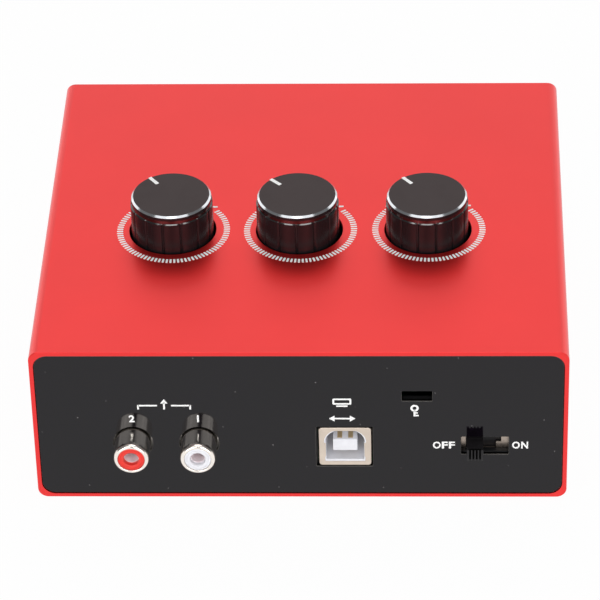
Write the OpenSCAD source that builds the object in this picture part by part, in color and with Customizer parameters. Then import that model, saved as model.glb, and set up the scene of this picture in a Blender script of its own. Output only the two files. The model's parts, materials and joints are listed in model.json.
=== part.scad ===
// Desktop audio interface: an extruded case with end plates, two boards, three knobs and its sockets.
// X runs along the rear face, to the right as seen from behind the unit. Y runs from the rear face to the
// front face. Z is up from the surface that the feet stand on. Left and right are as seen from behind.

/* [Case] */
// Width of the case, side to side
case_w = 123; // [118:1:150]
// Depth of the case, rear lip to front lip
case_d = 113; // [104:1:140]
// Height of the case without its feet
case_h = 41.9; // [40:0.1:55]
// Wall of the case
case_wall = 1; // [0.9:0.1:2]
// Outer radius of the case's long edges
case_r = 2.4; // [2:0.1:5]
// Inner radius of the case's long edges
case_inner_r = 3.2; // [2.4:0.1:4]
// Diameter of a screw port in the corners of the case
port_d = 6; // [5.4:0.1:7]
// How deep a screw port is let into the case wall
port_bite = 0.1; // [0.05:0.05:0.3]
// Thickness of a board rail
rail_t = 1.2; // [0.8:0.1:2]
// Depth of a board rail from the side wall
rail_depth = 2; // [1.5:0.1:3]
// Gap between a rail and the main board
rail_gap = 0.15; // [0.1:0.05:0.3]

/* [Feet] */
// Diameter of a foot where it is glued on
foot_d = 10; // [8:0.5:16]
// Diameter of a foot on the floor
foot_floor_d = 9; // [6:0.5:15]
// Height of a foot
foot_h = 1.6; // [1.5:0.1:4]
// Distance of a foot's centre from the sides and ends of the case
foot_inset = 13; // [10:0.5:25]

/* [End plates] */
// How far a faceplate is set back from the lip
face_recess = 0.2; // [0.1:0.1:1]
// Thickness of a faceplate
face_t = 1; // [0.8:0.1:2]
// Thickness of an end plate
plate_t = 1.2; // [1:0.1:2]
// Gap between the plates and the case
plate_gap = 0.15; // [0.1:0.05:0.3]
// Shank diameter of an end plate screw
plate_screw_d = 2.9; // [2.5:0.1:3]
// Head diameter of an end plate screw
plate_screw_head_d = 5; // [4.4:0.1:5.6]
// Length of an end plate screw
plate_screw_len = 8; // [6:0.5:14]
// Clearance of fixed pieces that fit in one another
fit_gap = 0.05; // [0.03:0.01:0.08]

/* [Boards] */
// Thickness of both boards
board_t = 1.6; // [1:0.1:2]
// Gap between the screw ports and the main board
board_port_gap = 0.8; // [0.2:0.1:1]
// Gap between the main board and the side walls
board_side_gap = 0.4; // [0.2:0.1:1]
// Gap between the main board and the end plates
board_end_gap = 0.9; // [0.5:0.1:2]
// Margin of the control board outside the outer knob axes
control_margin = 16; // [12:0.5:20]
// Depth of the control board
control_d = 26; // [24:0.5:32]
// Distance of a spacer from the control board's edges
spacer_inset = 4.5; // [3.5:0.5:6]
// Width of a hexagonal spacer across its corners
spacer_d = 6; // [5.4:0.1:7]
// Shank diameter of a spacer screw
spacer_screw_d = 2.9; // [2.5:0.1:3]
// Head diameter of a spacer screw
spacer_screw_head_d = 5.5; // [5:0.1:6]
// Head height of a spacer screw
spacer_screw_head_h = 1.8; // [1.2:0.1:2.2]
// Length of a spacer screw under its head
spacer_screw_len = 6; // [4:0.5:7]

/* [Knobs] */
// Distance between knob axes
knob_pitch = 30.15; // [26:0.05:36]
// Place of the middle of the knob row across the case
knob_row_x = -0.95; // [-4:0.05:4]
// How far the middle knob sits from the middle of the row
knob_middle_shift = -0.4; // [-1:0.1:1]
// Distance of the knob axes from the rear lip
knob_from_rear = 48.9; // [46:0.1:60]
// Height of a knob above the case
knob_up = 10; // [8:0.5:16]
// How far a knob's skirt goes down into the case
knob_sink = 2; // [1.6:0.1:3]
// Diameter of a knob at the foot of its skirt
knob_base_d = 19.6; // [17:0.1:21]
// Diameter of a knob at the top of its skirt
knob_skirt_d = 19.5; // [16.8:0.1:20.8]
// Diameter of the band above the skirt and of the cap
knob_band_d = 18.8; // [16.5:0.1:20]
// Height of the band above the skirt
knob_band_h = 2; // [1.5:0.1:3]
// Gap between a knob and its hole in the case
knob_gap = 0.4; // [0.25:0.05:1]
// Number of grooves around a skirt
flute_count = 14; // [8:1:24]
// Diameter of the cut that makes a groove
flute_d = 0.7; // [0.4:0.1:1]
// Thickness of a knob's skirt wall
skirt_wall = 1.5; // [1.2:0.1:2]
// Thickness of a knob's deck under its cap
knob_deck = 2.8; // [2:0.1:4]
// Diameter of a knob's hub
hub_d = 10; // [8.5:0.5:12]
// Gap between a knob's hub and the potentiometer
hub_gap = 1; // [0.6:0.1:2]
// Thickness of a cap
cap_t = 1.2; // [0.8:0.1:2]
// Width of the bevel cut around a cap
cap_bevel = 0.4; // [0.2:0.05:0.8]
// Width of the pointer line
pointer_w = 0.75; // [0.5:0.05:1.5]
// Length of the pointer line
pointer_len = 3.25; // [2:0.25:6]
// Gap between the pointer line and the bevel
pointer_inset = 0.05; // [0.05:0.05:1]
// Depth of the pointer line
pointer_cut = 0.2; // [0.1:0.05:0.4]
// Pointer direction of the left knob, counted from +X
pointer_left = 126; // [90:1:180]
// Pointer direction of the middle knob, counted from +X
pointer_middle = 134; // [90:1:180]
// Pointer direction of the right knob, counted from +X
pointer_right = 128; // [90:1:180]

/* [Potentiometers] */
// Diameter of a potentiometer shaft
shaft_d = 6; // [5:0.1:6.4]
// Length of a shaft above the control board
shaft_len = 15; // [14:0.5:18]
// Gap between a shaft's tip and the inside of the case top
shaft_tip_gap = 0.4; // [0.3:0.1:1]
// Depth of the flat on a shaft
shaft_flat = 1.5; // [1:0.1:2]
// Running clearance of a shaft in its housing, on the radius
shaft_run = 0.05; // [0.03:0.01:0.08]
// Width of a potentiometer housing
pot_w = 9.8; // [9.4:0.1:11]
// Depth of a potentiometer housing
pot_d = 11.4; // [10:0.1:13]
// Height of a potentiometer housing
pot_h = 6.8; // [6:0.1:7.4]
// Diameter of the rotor inside a housing
rotor_d = 8; // [7.4:0.1:8.2]
// Height of the rotor
rotor_h = 3.2; // [2.5:0.1:3.4]
// Gap around the rotor
rotor_gap = 0.3; // [0.2:0.05:0.4]
// Floor of the housing under the rotor
pot_floor = 1.4; // [1.2:0.1:1.6]
// Diameter of the pivot under the rotor
pivot_d = 2; // [1.5:0.1:3]
// Length of the pivot under the rotor
pivot_len = 0.9; // [0.6:0.1:1]
// Distance between the terminals of a potentiometer
pot_pin_pitch = 2.5; // [2:0.1:3]
// Distance of the row of terminals from the shaft's axis
pot_pin_row = 2.8; // [1.5:0.1:4]
// Width of a terminal that goes through a board
pin_w = 0.8; // [0.6:0.1:1]
// Thickness of a terminal that goes through a board
pin_t = 0.4; // [0.3:0.1:0.6]
// How far a terminal stands out under its board
pin_out = 1.2; // [0.8:0.1:2]
// Gap around a terminal in its board
pin_gap = 0.15; // [0.1:0.05:0.25]

/* [Phono jacks] */
// Place of the pair of jacks across the rear face
rca_x = -31.05; // [-36:0.05:-26]
// Distance between the two jacks
rca_pitch = 15.3; // [14:0.1:19]
// Height of the jacks' axes above the main board
rca_up = 6.6; // [6:0.1:10]
// Outer diameter of a barrel
rca_d = 8.35; // [8:0.05:8.6]
// How far a barrel stands out of the rear faceplate
rca_out = 6.6; // [5:0.1:10]
// Radius of the rounded rim of a barrel
rca_rim_r = 0.8; // [0.4:0.1:0.9]
// Gap between a barrel and the rear faceplate
rca_hole_gap = 0.5; // [0.15:0.05:0.7]
// Diameter of the flange behind the end plate
rca_flange_d = 11; // [10:0.1:12]
// Thickness of the flange
rca_flange_t = 0.8; // [0.5:0.1:1.2]
// Diameter of an insulator
rca_insert_d = 6.1; // [5.6:0.1:6.4]
// How far an insulator is set back in its barrel
rca_insert_back = 0.2; // [0.1:0.05:0.6]
// Diameter of the hole in an insulator
rca_mouth_d = 3.5; // [3.35:0.05:3.8]
// Length of the hole in front of the contact
rca_mouth_len = 1.2; // [0.8:0.1:3]
// Inner diameter of a contact sleeve
rca_contact_bore = 3.24; // [3.2:0.01:3.3]
// Wall of a contact sleeve
rca_contact_wall = 0.5; // [0.4:0.05:0.6]
// Depth of the bore in a contact sleeve
rca_contact_len = 9; // [7:0.5:11]
// Depth of the jack housing behind the flange
rca_housing_d = 12; // [11:0.5:14]
// How deep a barrel sits in the housing
rca_seat = 4; // [3:0.5:5]
// How deep an insulator sits in the housing behind its barrel
rca_tail = 3.5; // [2.5:0.5:4]
// Wall of the housing outside the flanges
rca_side = 1; // [0.6:0.1:2]

/* [USB socket] */
// Place of the socket across the rear face
usb_x = 10.3; // [4:0.1:18]
// Width of the shell
usb_w = 12.1; // [11.8:0.1:12.4]
// Height of the shell
usb_h = 10.8; // [10.6:0.1:11.2]
// Depth of the shell
usb_d = 16; // [15:0.5:18]
// Sheet of the shell
usb_sheet = 0.4; // [0.3:0.05:0.5]
// Gap between the shell and the plates
usb_gap = 0.35; // [0.25:0.05:0.7]
// Width of the mouth in the shell's front
usb_mouth_w = 9.3; // [9:0.1:9.6]
// Height of the mouth in the shell's front
usb_mouth_h = 8.8; // [8.6:0.1:9.2]
// Width of the plug space in the insulator
usb_plug_w = 8.7; // [8.5:0.1:8.9]
// Height of the plug space in the insulator
usb_plug_h = 8; // [7.8:0.1:8.4]
// Width of the slanted upper corners
usb_slant_w = 2.1; // [1.5:0.1:2.5]
// Height of the slanted upper corners
usb_slant_h = 2.6; // [1.5:0.1:3]
// Depth of the plug space
usb_plug_d = 9.5; // [9:0.1:11]
// Width of the tongue
usb_tongue_w = 5.6; // [5:0.1:6]
// Thickness of the tongue
usb_tongue_h = 3.2; // [2.8:0.1:3.4]
// How far the tongue is set back from the mouth
usb_tongue_back = 0.7; // [0.6:0.1:3]
// Thickness of the insulator's back wall
usb_back = 2; // [1.5:0.1:3]
// Distance between the contacts
usb_contact_pitch = 2.5; // [2.2:0.1:2.8]
// Width of a contact
usb_contact_w = 1.1; // [0.8:0.1:1.4]
// How far a contact starts behind the tip of the tongue
usb_contact_back = 0.6; // [0.4:0.1:1.6]
// Thickness of a contact
usb_contact_t = 0.3; // [0.2:0.05:0.4]

/* [Lock slot] */
// Place of the lock slot across the rear face
lock_x = 26.9; // [20:0.1:34]
// Height of the lock slot above the case's underside
lock_up = 29.25; // [26:0.25:32]
// Length of the lock slot
lock_w = 7; // [6.8:0.1:7.4]
// Height of the lock slot
lock_h = 2.9; // [2.8:0.1:3.4]

/* [Power switch] */
// Place of the switch across the rear face
switch_x = 42.2; // [40:0.1:46]
// Height of the switch above the main board
switch_up = 5.9; // [5.2:0.1:7]
// How far the slot in the plates is set from the switch towards ON
slot_shift = 0.3; // [0:0.1:0.6]
// Length of the slot in the plates
switch_slot_w = 11; // [10.2:0.1:12]
// Height of the slot in the plates
switch_slot_h = 4.9; // [4.6:0.1:6]
// Travel of the slider
switch_travel = 4; // [3:0.1:4.2]
// Width of the slider's grip
grip_w = 3.8; // [3:0.1:4.2]
// Height of the slider's grip
grip_h = 3.1; // [3:0.1:4]
// Height of the grip's centre above the switch's centre
grip_up = 0.4; // [0:0.1:0.6]
// How far the grip stands out of the rear faceplate
grip_out = 4; // [2.5:0.1:5]
// Number of grooves in the grip
grip_grooves = 4; // [2:1:5]
// Width of a groove in the grip
groove_w = 0.42; // [0.3:0.02:0.5]
// Depth of a groove in the grip
groove_cut = 0.4; // [0.2:0.1:0.8]
// Height of the slider's stem inside the slot
stem_h = 2.5; // [2:0.1:2.7]
// Gap around the slider
slide_gap = 0.2; // [0.15:0.05:0.3]
// Width of the switch frame
frame_w = 19; // [18:0.5:22]
// Height of the switch frame
frame_h = 8; // [7.6:0.1:8.6]
// Depth of the switch frame
frame_d = 6; // [5.8:0.1:8]
// Sheet of the switch frame
frame_sheet = 0.5; // [0.4:0.05:0.6]
// Width of the stop tab in the corner of the frame's slot
stop_tab_w = 1.2; // [0.8:0.1:2]
// Thickness of the slider's plate
slider_t = 1.6; // [1.2:0.1:1.8]
// Thickness of the moving contact
wiper_t = 0.4; // [0.3:0.1:0.5]
// Thickness of the switch base
base_t = 1; // [0.8:0.1:1.2]
// Distance between the switch terminals
terminal_pitch = 4; // [3:0.1:4.5]

/* [Front sockets] */
// Height of the front sockets' axes above the main board
jack_up = 11.65; // [11:0.05:12.5]
// Bore of a socket for a 6.35 mm plug
jack_bore = 6.5; // [6.4:0.05:6.6]
// Place of the combination socket across the front face
combo_x = 37; // [36:0.5:42]
// Diameter of the combination socket's face
combo_d = 24; // [23:0.5:24.5]
// How far the combination socket stands out of the faceplate
combo_out = 0.6; // [0.3:0.1:2]
// Width of the combination socket's body
combo_w = 26; // [25:0.5:27]
// Depth of the combination socket's body
combo_depth = 27; // [25:0.5:30]
// Wall of the combination socket above its face
combo_roof = 0.8; // [0.5:0.1:1.5]
// Inner diameter of the ring groove in the combination socket
combo_ring_inner = 15.8; // [15.6:0.1:16]
// Outer diameter of the ring groove in the combination socket
combo_ring_outer = 19.4; // [19:0.1:20]
// Depth of the ring groove
combo_ring_depth = 12; // [10:0.5:14]
// Radius of the circle that the three pin sockets lie on
combo_pin_circle = 5.6; // [5.5:0.05:5.8]
// Bore of a pin socket
combo_pin_bore = 2.5; // [2.4:0.05:2.6]
// Wall of a pin socket
combo_pin_wall = 0.3; // [0.2:0.05:0.35]
// Depth of a pin socket
combo_pin_depth = 16; // [14:0.5:18]
// Place of the instrument socket across the front face
instrument_x = 4; // [1:0.5:5]
// Place of the headphone socket across the front face
phones_x = -32; // [-40:0.5:-28]
// Diameter of a socket's threaded bush
bush_d = 9.4; // [9:0.1:10]
// How far a bush stands out of the faceplate
bush_out = 3.6; // [3.2:0.1:5]
// Gap between a bush and the plates
bush_gap = 0.2; // [0.1:0.05:0.4]
// Width of a socket's body
jack_w = 16; // [15:0.5:18]
// Depth of a socket's body
jack_d = 25; // [22:0.5:28]
// Height of a socket's body above its axis
jack_roof = 7; // [6:0.5:9]
// Width of a socket's nut across its corners
nut_d = 14; // [13:0.5:16]
// Thickness of a socket's nut
nut_t = 2.2; // [1.6:0.1:2.6]
// Diameter of a socket's washer
washer_d = 14.6; // [14:0.1:18]
// Thickness of a socket's washer
washer_t = 0.6; // [0.4:0.1:1]
// Width of a socket's contact blade
blade_w = 2; // [1.5:0.1:2.5]
// Distance between a socket's contact blades along its bore
blade_pitch = 6; // [4:0.5:8]
// Gap between a contact blade and the bore
blade_off = 0.4; // [0.3:0.05:0.6]

/* [Phantom power button and lights] */
// Place of the button across the front face
button_x = 18; // [17.5:0.25:19]
// Height of the button's axis above the main board
button_up = 5.2; // [4.6:0.1:6]
// Diameter of the button
button_d = 6; // [5:0.1:7]
// How far the button stands out of the faceplate
button_out = 3; // [2.2:0.1:4]
// Travel of the button
button_travel = 1.5; // [1:0.1:2]
// Gap around the button
button_gap = 0.25; // [0.15:0.05:0.4]
// Width of the button's switch
button_switch_w = 8; // [7:0.1:8.4]
// Height of the button's switch
button_switch_h = 8.5; // [8:0.1:9.5]
// Depth of the button's switch
button_switch_d = 13; // [11:0.5:16]
// Width of the plunger
plunger_w = 3; // [2.4:0.1:3.4]
// How deep the plunger sits in the button
plunger_seat = 2; // [1.5:0.1:2.4]
// How deep the plunger sits in the switch
plunger_depth = 5; // [4:0.1:6]
// Place of the pair of lights across the front face
light_x = -14; // [-15:0.5:-13]
// Distance between the two lights
light_pitch = 8; // [7:0.5:10]
// Height of the lights above the main board
light_up = 13.2; // [12:0.1:16]
// Diameter of a light
light_d = 3; // [2.6:0.1:3.4]
// Diameter of a light's blunt tip
light_tip_d = 1.6; // [1:0.1:2.4]
// Height of a light's tapered tip
light_tip_h = 0.8; // [0.4:0.1:1.5]
// Diameter of the flange at the back of a light
light_flange_d = 3.8; // [3.5:0.1:4.4]
// Thickness of the flange at the back of a light
light_flange_t = 1; // [0.6:0.1:1.4]
// How far a light stands out of the faceplate
light_out = 1; // [0.6:0.1:2]
// Length of a light behind the plate
light_back = 3; // [2:0.1:4]
// Distance between the leads of a light
lead_pitch = 2.54; // [2.2:0.02:2.8]

/* [Board parts] */
// Number of ways in the board link
link_ways = 8; // [4:1:8]
// Pitch of the board link
link_pitch = 2.54; // [2:0.02:2.54]
// Place of the board link across the case
link_x = 14; // [12:0.5:16]
// Width of the board link's strips
link_strip_w = 2.5; // [2.2:0.1:3]
// Height of the link's socket
link_socket_h = 8; // [6:0.5:8.5]
// Floor of the link's socket under its pins
link_socket_floor = 1.5; // [1:0.1:2]
// Height of the link's upper strip
link_strip_h = 2.5; // [2:0.1:3]
// Width of a link pin
link_pin_w = 0.64; // [0.5:0.02:0.7]
// Gap between the sockets and the parts next to them on the board
part_gap = 5; // [3:0.5:8]
// Side of the audio controller chip
chip_w = 10; // [8:0.5:14]
// Height of both chips
chip_h = 1.4; // [1:0.1:2]
// Length of the converter chip
converter_w = 10; // [8:0.5:12]
// Width of the converter chip
converter_d = 5.3; // [4:0.1:7]
// Length of the clock crystal
crystal_w = 11; // [8:0.5:12]
// Width of the clock crystal
crystal_d = 4.6; // [3.5:0.1:5]
// Height of the clock crystal
crystal_h = 3.5; // [2.5:0.1:5]
// Diameter of a capacitor
capacitor_d = 6.3; // [5:0.1:8]
// Height of a capacitor
capacitor_h = 7.7; // [5:0.1:9]
// Height of a capacitor's square base
capacitor_base_h = 1; // [0.6:0.1:1.5]
// Distance between capacitors
capacitor_pitch = 9.5; // [8.5:0.1:11]
// Number of capacitors in the row
capacitor_count = 4; // [2:1:4]

/* [Hidden] */
$fn = 64;

// Overrun of a cut past the face that it opens
cut = 1;
// Gap between a piece behind an end plate and that plate
seat_gap = 0.1;

// Levels and planes of the case
floor_z = foot_h + case_wall;
case_top = foot_h + case_h;
ceiling_z = case_top - case_wall;
mid_z = foot_h + case_h / 2;
inner_w = case_w - 2 * case_wall;
inner_h = case_h - 2 * case_wall;
rear_y = -case_d / 2;
front_y = case_d / 2;
rear_face_y = rear_y + face_recess;
front_face_y = front_y - face_recess;
rear_plate_y = rear_face_y + face_t + plate_t;
front_plate_y = front_face_y - face_t - plate_t;

// Screw ports in the corners of the case
port_inset = port_d / 2 - port_bite;
port_x = inner_w / 2 - port_inset;
port_dz = inner_h / 2 - port_inset;
plate_screw_hole_d = plate_screw_d + 2 * fit_gap;

// Boards
board_z = floor_z + port_inset + port_d / 2 + board_port_gap;
board_top = board_z + board_t;
main_board_w = inner_w - 2 * board_side_gap;
control_top = ceiling_z - shaft_tip_gap - shaft_len;
control_z = control_top - board_t;
control_w = 2 * (knob_pitch + control_margin);
knob_y = rear_y + knob_from_rear;
knob_xs = [knob_row_x - knob_pitch, knob_row_x + knob_middle_shift, knob_row_x + knob_pitch];
spacer_hole_d = spacer_screw_d + 2 * fit_gap;
spacer_xs = [for (s = [-1, 1]) knob_row_x + s * (control_w / 2 - spacer_inset)];
spacer_ys = [for (s = [-1, 1]) knob_y + s * (control_d / 2 - spacer_inset)];
link_y = knob_y + control_d / 2 - link_strip_w;
link_xs = [for (i = [0 : link_ways - 1]) link_x + (i - (link_ways - 1) / 2) * link_pitch];

// Potentiometers and knobs
pot_top = control_top + pot_h;
rotor_z = control_top + pot_floor + rotor_gap;
shaft_tip = ceiling_z - shaft_tip_gap;
hub_z = pot_top + hub_gap;
knob_foot_z = case_top - knob_sink;
knob_top_z = case_top + knob_up;
knob_seat_z = knob_top_z - cap_t;
knob_step_z = knob_top_z - knob_band_h;
knob_hole_d = knob_base_d + 2 * knob_gap;
pointers = [pointer_left, pointer_middle, pointer_right];
pot_pin_y = knob_y - pot_pin_row;

// Phono jacks, measured along Y from the rear end plate inwards
rca_z = board_top + rca_up;
rca_xs = [rca_x - rca_pitch / 2, rca_x + rca_pitch / 2];
rca_flange_y = rear_plate_y + seat_gap;
rca_housing_y = rca_flange_y + rca_flange_t;
rca_shell_end = rca_housing_y + rca_seat;
rca_insert_end = rca_shell_end + rca_tail;
rca_front_y = rear_face_y - rca_out;
rca_insert_front = rca_front_y + rca_insert_back;
rca_contact_front = rca_insert_front + rca_mouth_len;
rca_contact_d = rca_contact_bore + 2 * rca_contact_wall;
rca_bore_d = rca_insert_d + 2 * fit_gap;
rca_blade_y = rca_insert_end + pin_w / 2;
rca_housing_end = rca_housing_y + rca_housing_d;

// USB socket
usb_z = board_top + usb_h / 2;
usb_front_y = rear_face_y;
usb_body_w = usb_w - 2 * usb_sheet - 2 * fit_gap;
usb_body_h = usb_h - 2 * usb_sheet - 2 * fit_gap;
usb_body_y = usb_front_y + usb_sheet + fit_gap;
usb_body_end = usb_body_y + usb_plug_d + usb_back;
usb_tail_y = usb_body_end + fit_gap;

// Power switch
switch_z = board_top + switch_up;
frame_y = rear_plate_y + seat_gap;
frame_end = frame_y + frame_d;
frame_in_w = frame_w - 2 * frame_sheet;
frame_in_h = frame_h - 2 * frame_sheet;
grip_off_x = switch_x - switch_travel / 2;
slider_w = frame_in_w - switch_travel - 2 * slide_gap;
slider_y = frame_y + frame_sheet + slide_gap;
wiper_y = slider_y + slider_t;
base_y = frame_end - base_t;
terminal_y = wiper_y + wiper_t + slide_gap;
terminal_end = frame_end + pin_w;
stem_low = grip_up + grip_h / 2 - stem_h;

// Front sockets, button and lights
jack_z = board_top + jack_up;
combo_end = front_plate_y - seat_gap;
combo_start = combo_end - combo_depth;
combo_front = front_face_y + combo_out;
combo_pin_d = combo_pin_bore + 2 * combo_pin_wall;
combo_angles = [30, 150, 270];
jack_end = front_plate_y - seat_gap;
jack_start = jack_end - jack_d;
bush_front = front_face_y + bush_out;
jack_xs = [instrument_x, phones_x];
blade_x = jack_bore / 2 + blade_off;
button_z = board_top + button_up;
button_front = front_face_y + button_out;
button_end = front_plate_y - seat_gap;
button_switch_front = button_end - button_travel - 2 * button_gap;
button_switch_start = button_switch_front - button_switch_d;
light_z = board_top + light_up;
light_xs = [light_x - light_pitch / 2, light_x + light_pitch / 2];
light_start = front_plate_y - light_back;
lead_y = light_start - pin_t;

// Board parts, placed clear of the sockets
chip_y = usb_front_y + usb_d + part_gap + chip_w / 2;
capacitor_y = rca_housing_end + part_gap + capacitor_d / 2;
crystal_y = terminal_end + part_gap + crystal_d / 2;

// Shapes that repeat

module rounded_rect(w, h, r) {
    square([w - 2 * r, h], center = true);
    square([w, h - 2 * r], center = true);
    for (sx = [-1, 1], sy = [-1, 1]) {
        translate([sx * (w / 2 - r), sy * (h / 2 - r)]) circle(r = r);
    }
}

// Extrudes a shape drawn in X and Z along Y
module upright(y0, y1) {
    translate([0, y1, 0]) rotate([90, 0, 0]) linear_extrude(height = y1 - y0) children();
}

// Round bar along Y at x and z
module rod_y(x, z, d, y0, y1) {
    translate([x, y0, z]) rotate([-90, 0, 0]) cylinder(d = d, h = y1 - y0);
}

// Block between two corners
module block(low, high) {
    translate(low) cube(high - low);
}

// Terminal through a board, from z0 up to z1, centred on x and y
module pin(x, y, w, t, z0, z1) {
    translate([x - w / 2, y - t / 2, z0]) cube([w, t, z1 - z0]);
}

module at_ports() {
    for (sx = [-1, 1], sz = [-1, 1]) translate([sx * port_x, mid_z + sz * port_dz]) children();
}

module at_spacers() {
    for (x = spacer_xs, y = spacer_ys) translate([x, y, 0]) children();
}

// Outline of both end plates and both faceplates
module end_outline() {
    translate([0, mid_z]) {
        rounded_rect(inner_w - 2 * plate_gap, inner_h - 2 * plate_gap, case_inner_r - plate_gap);
    }
}

// Openings through the rear faceplate and its end plate
module rear_cutouts() {
    for (x = rca_xs) translate([x, rca_z]) circle(d = rca_d + 2 * rca_hole_gap);
    translate([usb_x, usb_z]) square([usb_w + 2 * usb_gap, usb_h + 2 * usb_gap], center = true);
    translate([switch_x + slot_shift, switch_z]) square([switch_slot_w, switch_slot_h], center = true);
    translate([lock_x, foot_h + lock_up]) square([lock_w, lock_h], center = true);
}

// Openings through the front faceplate and its end plate
module front_cutouts() {
    translate([combo_x, jack_z]) circle(d = combo_d + 2 * bush_gap);
    for (x = jack_xs) translate([x, jack_z]) circle(d = bush_d + 2 * bush_gap);
    translate([button_x, button_z]) circle(d = button_d + 2 * button_gap);
    for (x = light_xs) translate([x, light_z]) circle(d = light_d + 2 * fit_gap);
}

// Countersunk screw along +Y with its head's face at y = 0; grow widens it into its hole
module countersunk(grow) {
    head_r = plate_screw_head_d / 2 + grow;
    shank_r = plate_screw_d / 2 + grow;
    rotate([-90, 0, 0]) {
        cylinder(r1 = head_r, r2 = shank_r, h = plate_t);
        cylinder(r = shank_r, h = plate_screw_len);
    }
}

module at_rear_screws() {
    for (sx = [-1, 1], sz = [-1, 1]) {
        translate([sx * port_x, rear_plate_y - plate_t, mid_z + sz * port_dz]) children();
    }
}

module at_front_screws() {
    mirror([0, 1, 0]) at_rear_screws() children();
}

// Case and end plates

module case_sleeve() color("crimson") difference() {
    union() {
        upright(rear_y, front_y) translate([0, mid_z]) difference() {
            rounded_rect(case_w, case_h, case_r);
            rounded_rect(inner_w, inner_h, case_inner_r);
        }
        upright(rear_plate_y, front_plate_y) difference() {
            union() {
                at_ports() circle(d = port_d);
                case_rails();
            }
            at_ports() circle(d = plate_screw_hole_d);
        }
    }
    for (x = knob_xs) {
        translate([x, knob_y, ceiling_z - cut]) cylinder(d = knob_hole_d, h = case_wall + 2 * cut);
    }
}

// Two rails on each side that hold the edges of the main board
module case_rails() {
    for (s = [-1, 1], z = [board_z - rail_gap - rail_t, board_top + rail_gap]) {
        translate([s * (inner_w / 2 - (rail_depth - case_wall / 2) / 2), z + rail_t / 2]) {
            square([rail_depth + case_wall / 2, rail_t], center = true);
        }
    }
}

module rear_plate() color("gainsboro") difference() {
    upright(rear_plate_y - plate_t, rear_plate_y) difference() {
        end_outline();
        rear_cutouts();
    }
    at_rear_screws() countersunk(fit_gap);
}

module rear_faceplate() color("black") upright(rear_face_y, rear_face_y + face_t) difference() {
    end_outline();
    rear_cutouts();
}

module front_plate() color("gainsboro") difference() {
    upright(front_plate_y, front_plate_y + plate_t) difference() {
        end_outline();
        front_cutouts();
    }
    at_front_screws() countersunk(fit_gap);
}

module front_faceplate() color("black") upright(front_face_y - face_t, front_face_y) difference() {
    end_outline();
    front_cutouts();
}

module rear_plate_screws() color("silver") at_rear_screws() countersunk(0);

module front_plate_screws() color("silver") at_front_screws() countersunk(0);

module rubber_feet() color("dimgray") {
    for (sx = [-1, 1], sy = [-1, 1]) {
        translate([sx * (case_w / 2 - foot_inset), sy * (case_d / 2 - foot_inset), 0]) {
            cylinder(d1 = foot_floor_d, d2 = foot_d, h = foot_h);
        }
    }
}

// Boards

module main_board() color("seagreen") difference() {
    block([-main_board_w / 2, rear_plate_y + board_end_gap, board_z],
          [main_board_w / 2, front_plate_y - board_end_gap, board_top]);
    at_spacers() translate([0, 0, board_z - cut]) cylinder(d = spacer_hole_d, h = board_t + 2 * cut);
    main_board_pins(pin_gap);
}

// Terminals of the sockets where they pass through the main board, widened by grow
module main_board_pins(grow) {
    z0 = board_z - pin_out - grow;
    z1 = board_top + grow;
    for (x = rca_xs) pin(x, rca_blade_y, pin_w + 2 * grow, pin_w + 2 * grow, z0, z1);
    for (i = [-1, 1], j = [0, 1]) {
        pin(usb_contact_x(i), usb_leg_y(j), usb_contact_w + 2 * grow, usb_contact_t + 2 * grow, z0, z1);
    }
    for (i = [-1, 0, 1]) {
        pin(terminal_x(i), terminal_end - pin_w / 2, pin_t + 2 * grow, pin_w + 2 * grow, z0, z1);
    }
    for (a = combo_angles) {
        pin(combo_leg_x(a), combo_start - pin_t / 2, pin_w + 2 * grow, pin_t + 2 * grow, z0, z1);
    }
    for (x = jack_xs, i = [0, 1, 2]) {
        pin(jack_blade_x(x, i), jack_blade_y(i), pin_t + 2 * grow, blade_w + 2 * grow, z0, z1);
    }
    for (x = light_xs, s = [-1, 1]) {
        pin(x + s * lead_pitch / 2, lead_y, pin_t + 2 * grow, pin_t + 2 * grow, z0, z1);
    }
}

module control_board() color("seagreen") difference() {
    block([knob_row_x - control_w / 2, knob_y - control_d / 2, control_z],
          [knob_row_x + control_w / 2, knob_y + control_d / 2, control_top]);
    at_spacers() translate([0, 0, control_z - cut]) cylinder(d = spacer_hole_d, h = board_t + 2 * cut);
    pot_pins(pin_gap);
    for (x = link_xs) {
        hole = link_pin_w + 2 * pin_gap;
        pin(x, link_y, hole, hole, control_z - cut, control_top + cut);
    }
}

module board_spacers() color("goldenrod") at_spacers() translate([0, 0, board_top]) difference() {
    cylinder(d = spacer_d, h = control_z - board_top, $fn = 6);
    translate([0, 0, -cut]) cylinder(d = spacer_hole_d, h = control_z - board_top + 2 * cut);
}

module spacer_screw() {
    translate([0, 0, -spacer_screw_len]) cylinder(d = spacer_screw_d, h = spacer_screw_len);
    cylinder(d = spacer_screw_head_d, h = spacer_screw_head_h);
}

module spacer_screws() color("silver") at_spacers() {
    translate([0, 0, control_top]) spacer_screw();
    translate([0, 0, board_z]) mirror([0, 0, 1]) spacer_screw();
}

// Strip of the board link from z0 to z1, with its holes open upwards from hole_z
module link_strip(z0, z1, hole_z) difference() {
    length = link_ways * link_pitch;
    hole = link_pin_w + 2 * fit_gap;
    block([link_x - length / 2, link_y - link_strip_w / 2, z0],
          [link_x + length / 2, link_y + link_strip_w / 2, z1]);
    for (x = link_xs) pin(x, link_y, hole, hole, hole_z, z1 + cut);
}

module link_socket() color("dimgray") {
    link_strip(board_top, board_top + link_socket_h, board_top + link_socket_floor);
}

module link_header() color("dimgray") {
    link_strip(control_z - link_strip_h, control_z, control_z - link_strip_h - cut);
}

module link_pins() color("gold") for (x = link_xs) {
    pin(x, link_y, link_pin_w, link_pin_w, board_top + link_socket_floor + fit_gap, control_top + pin_out);
}

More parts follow.
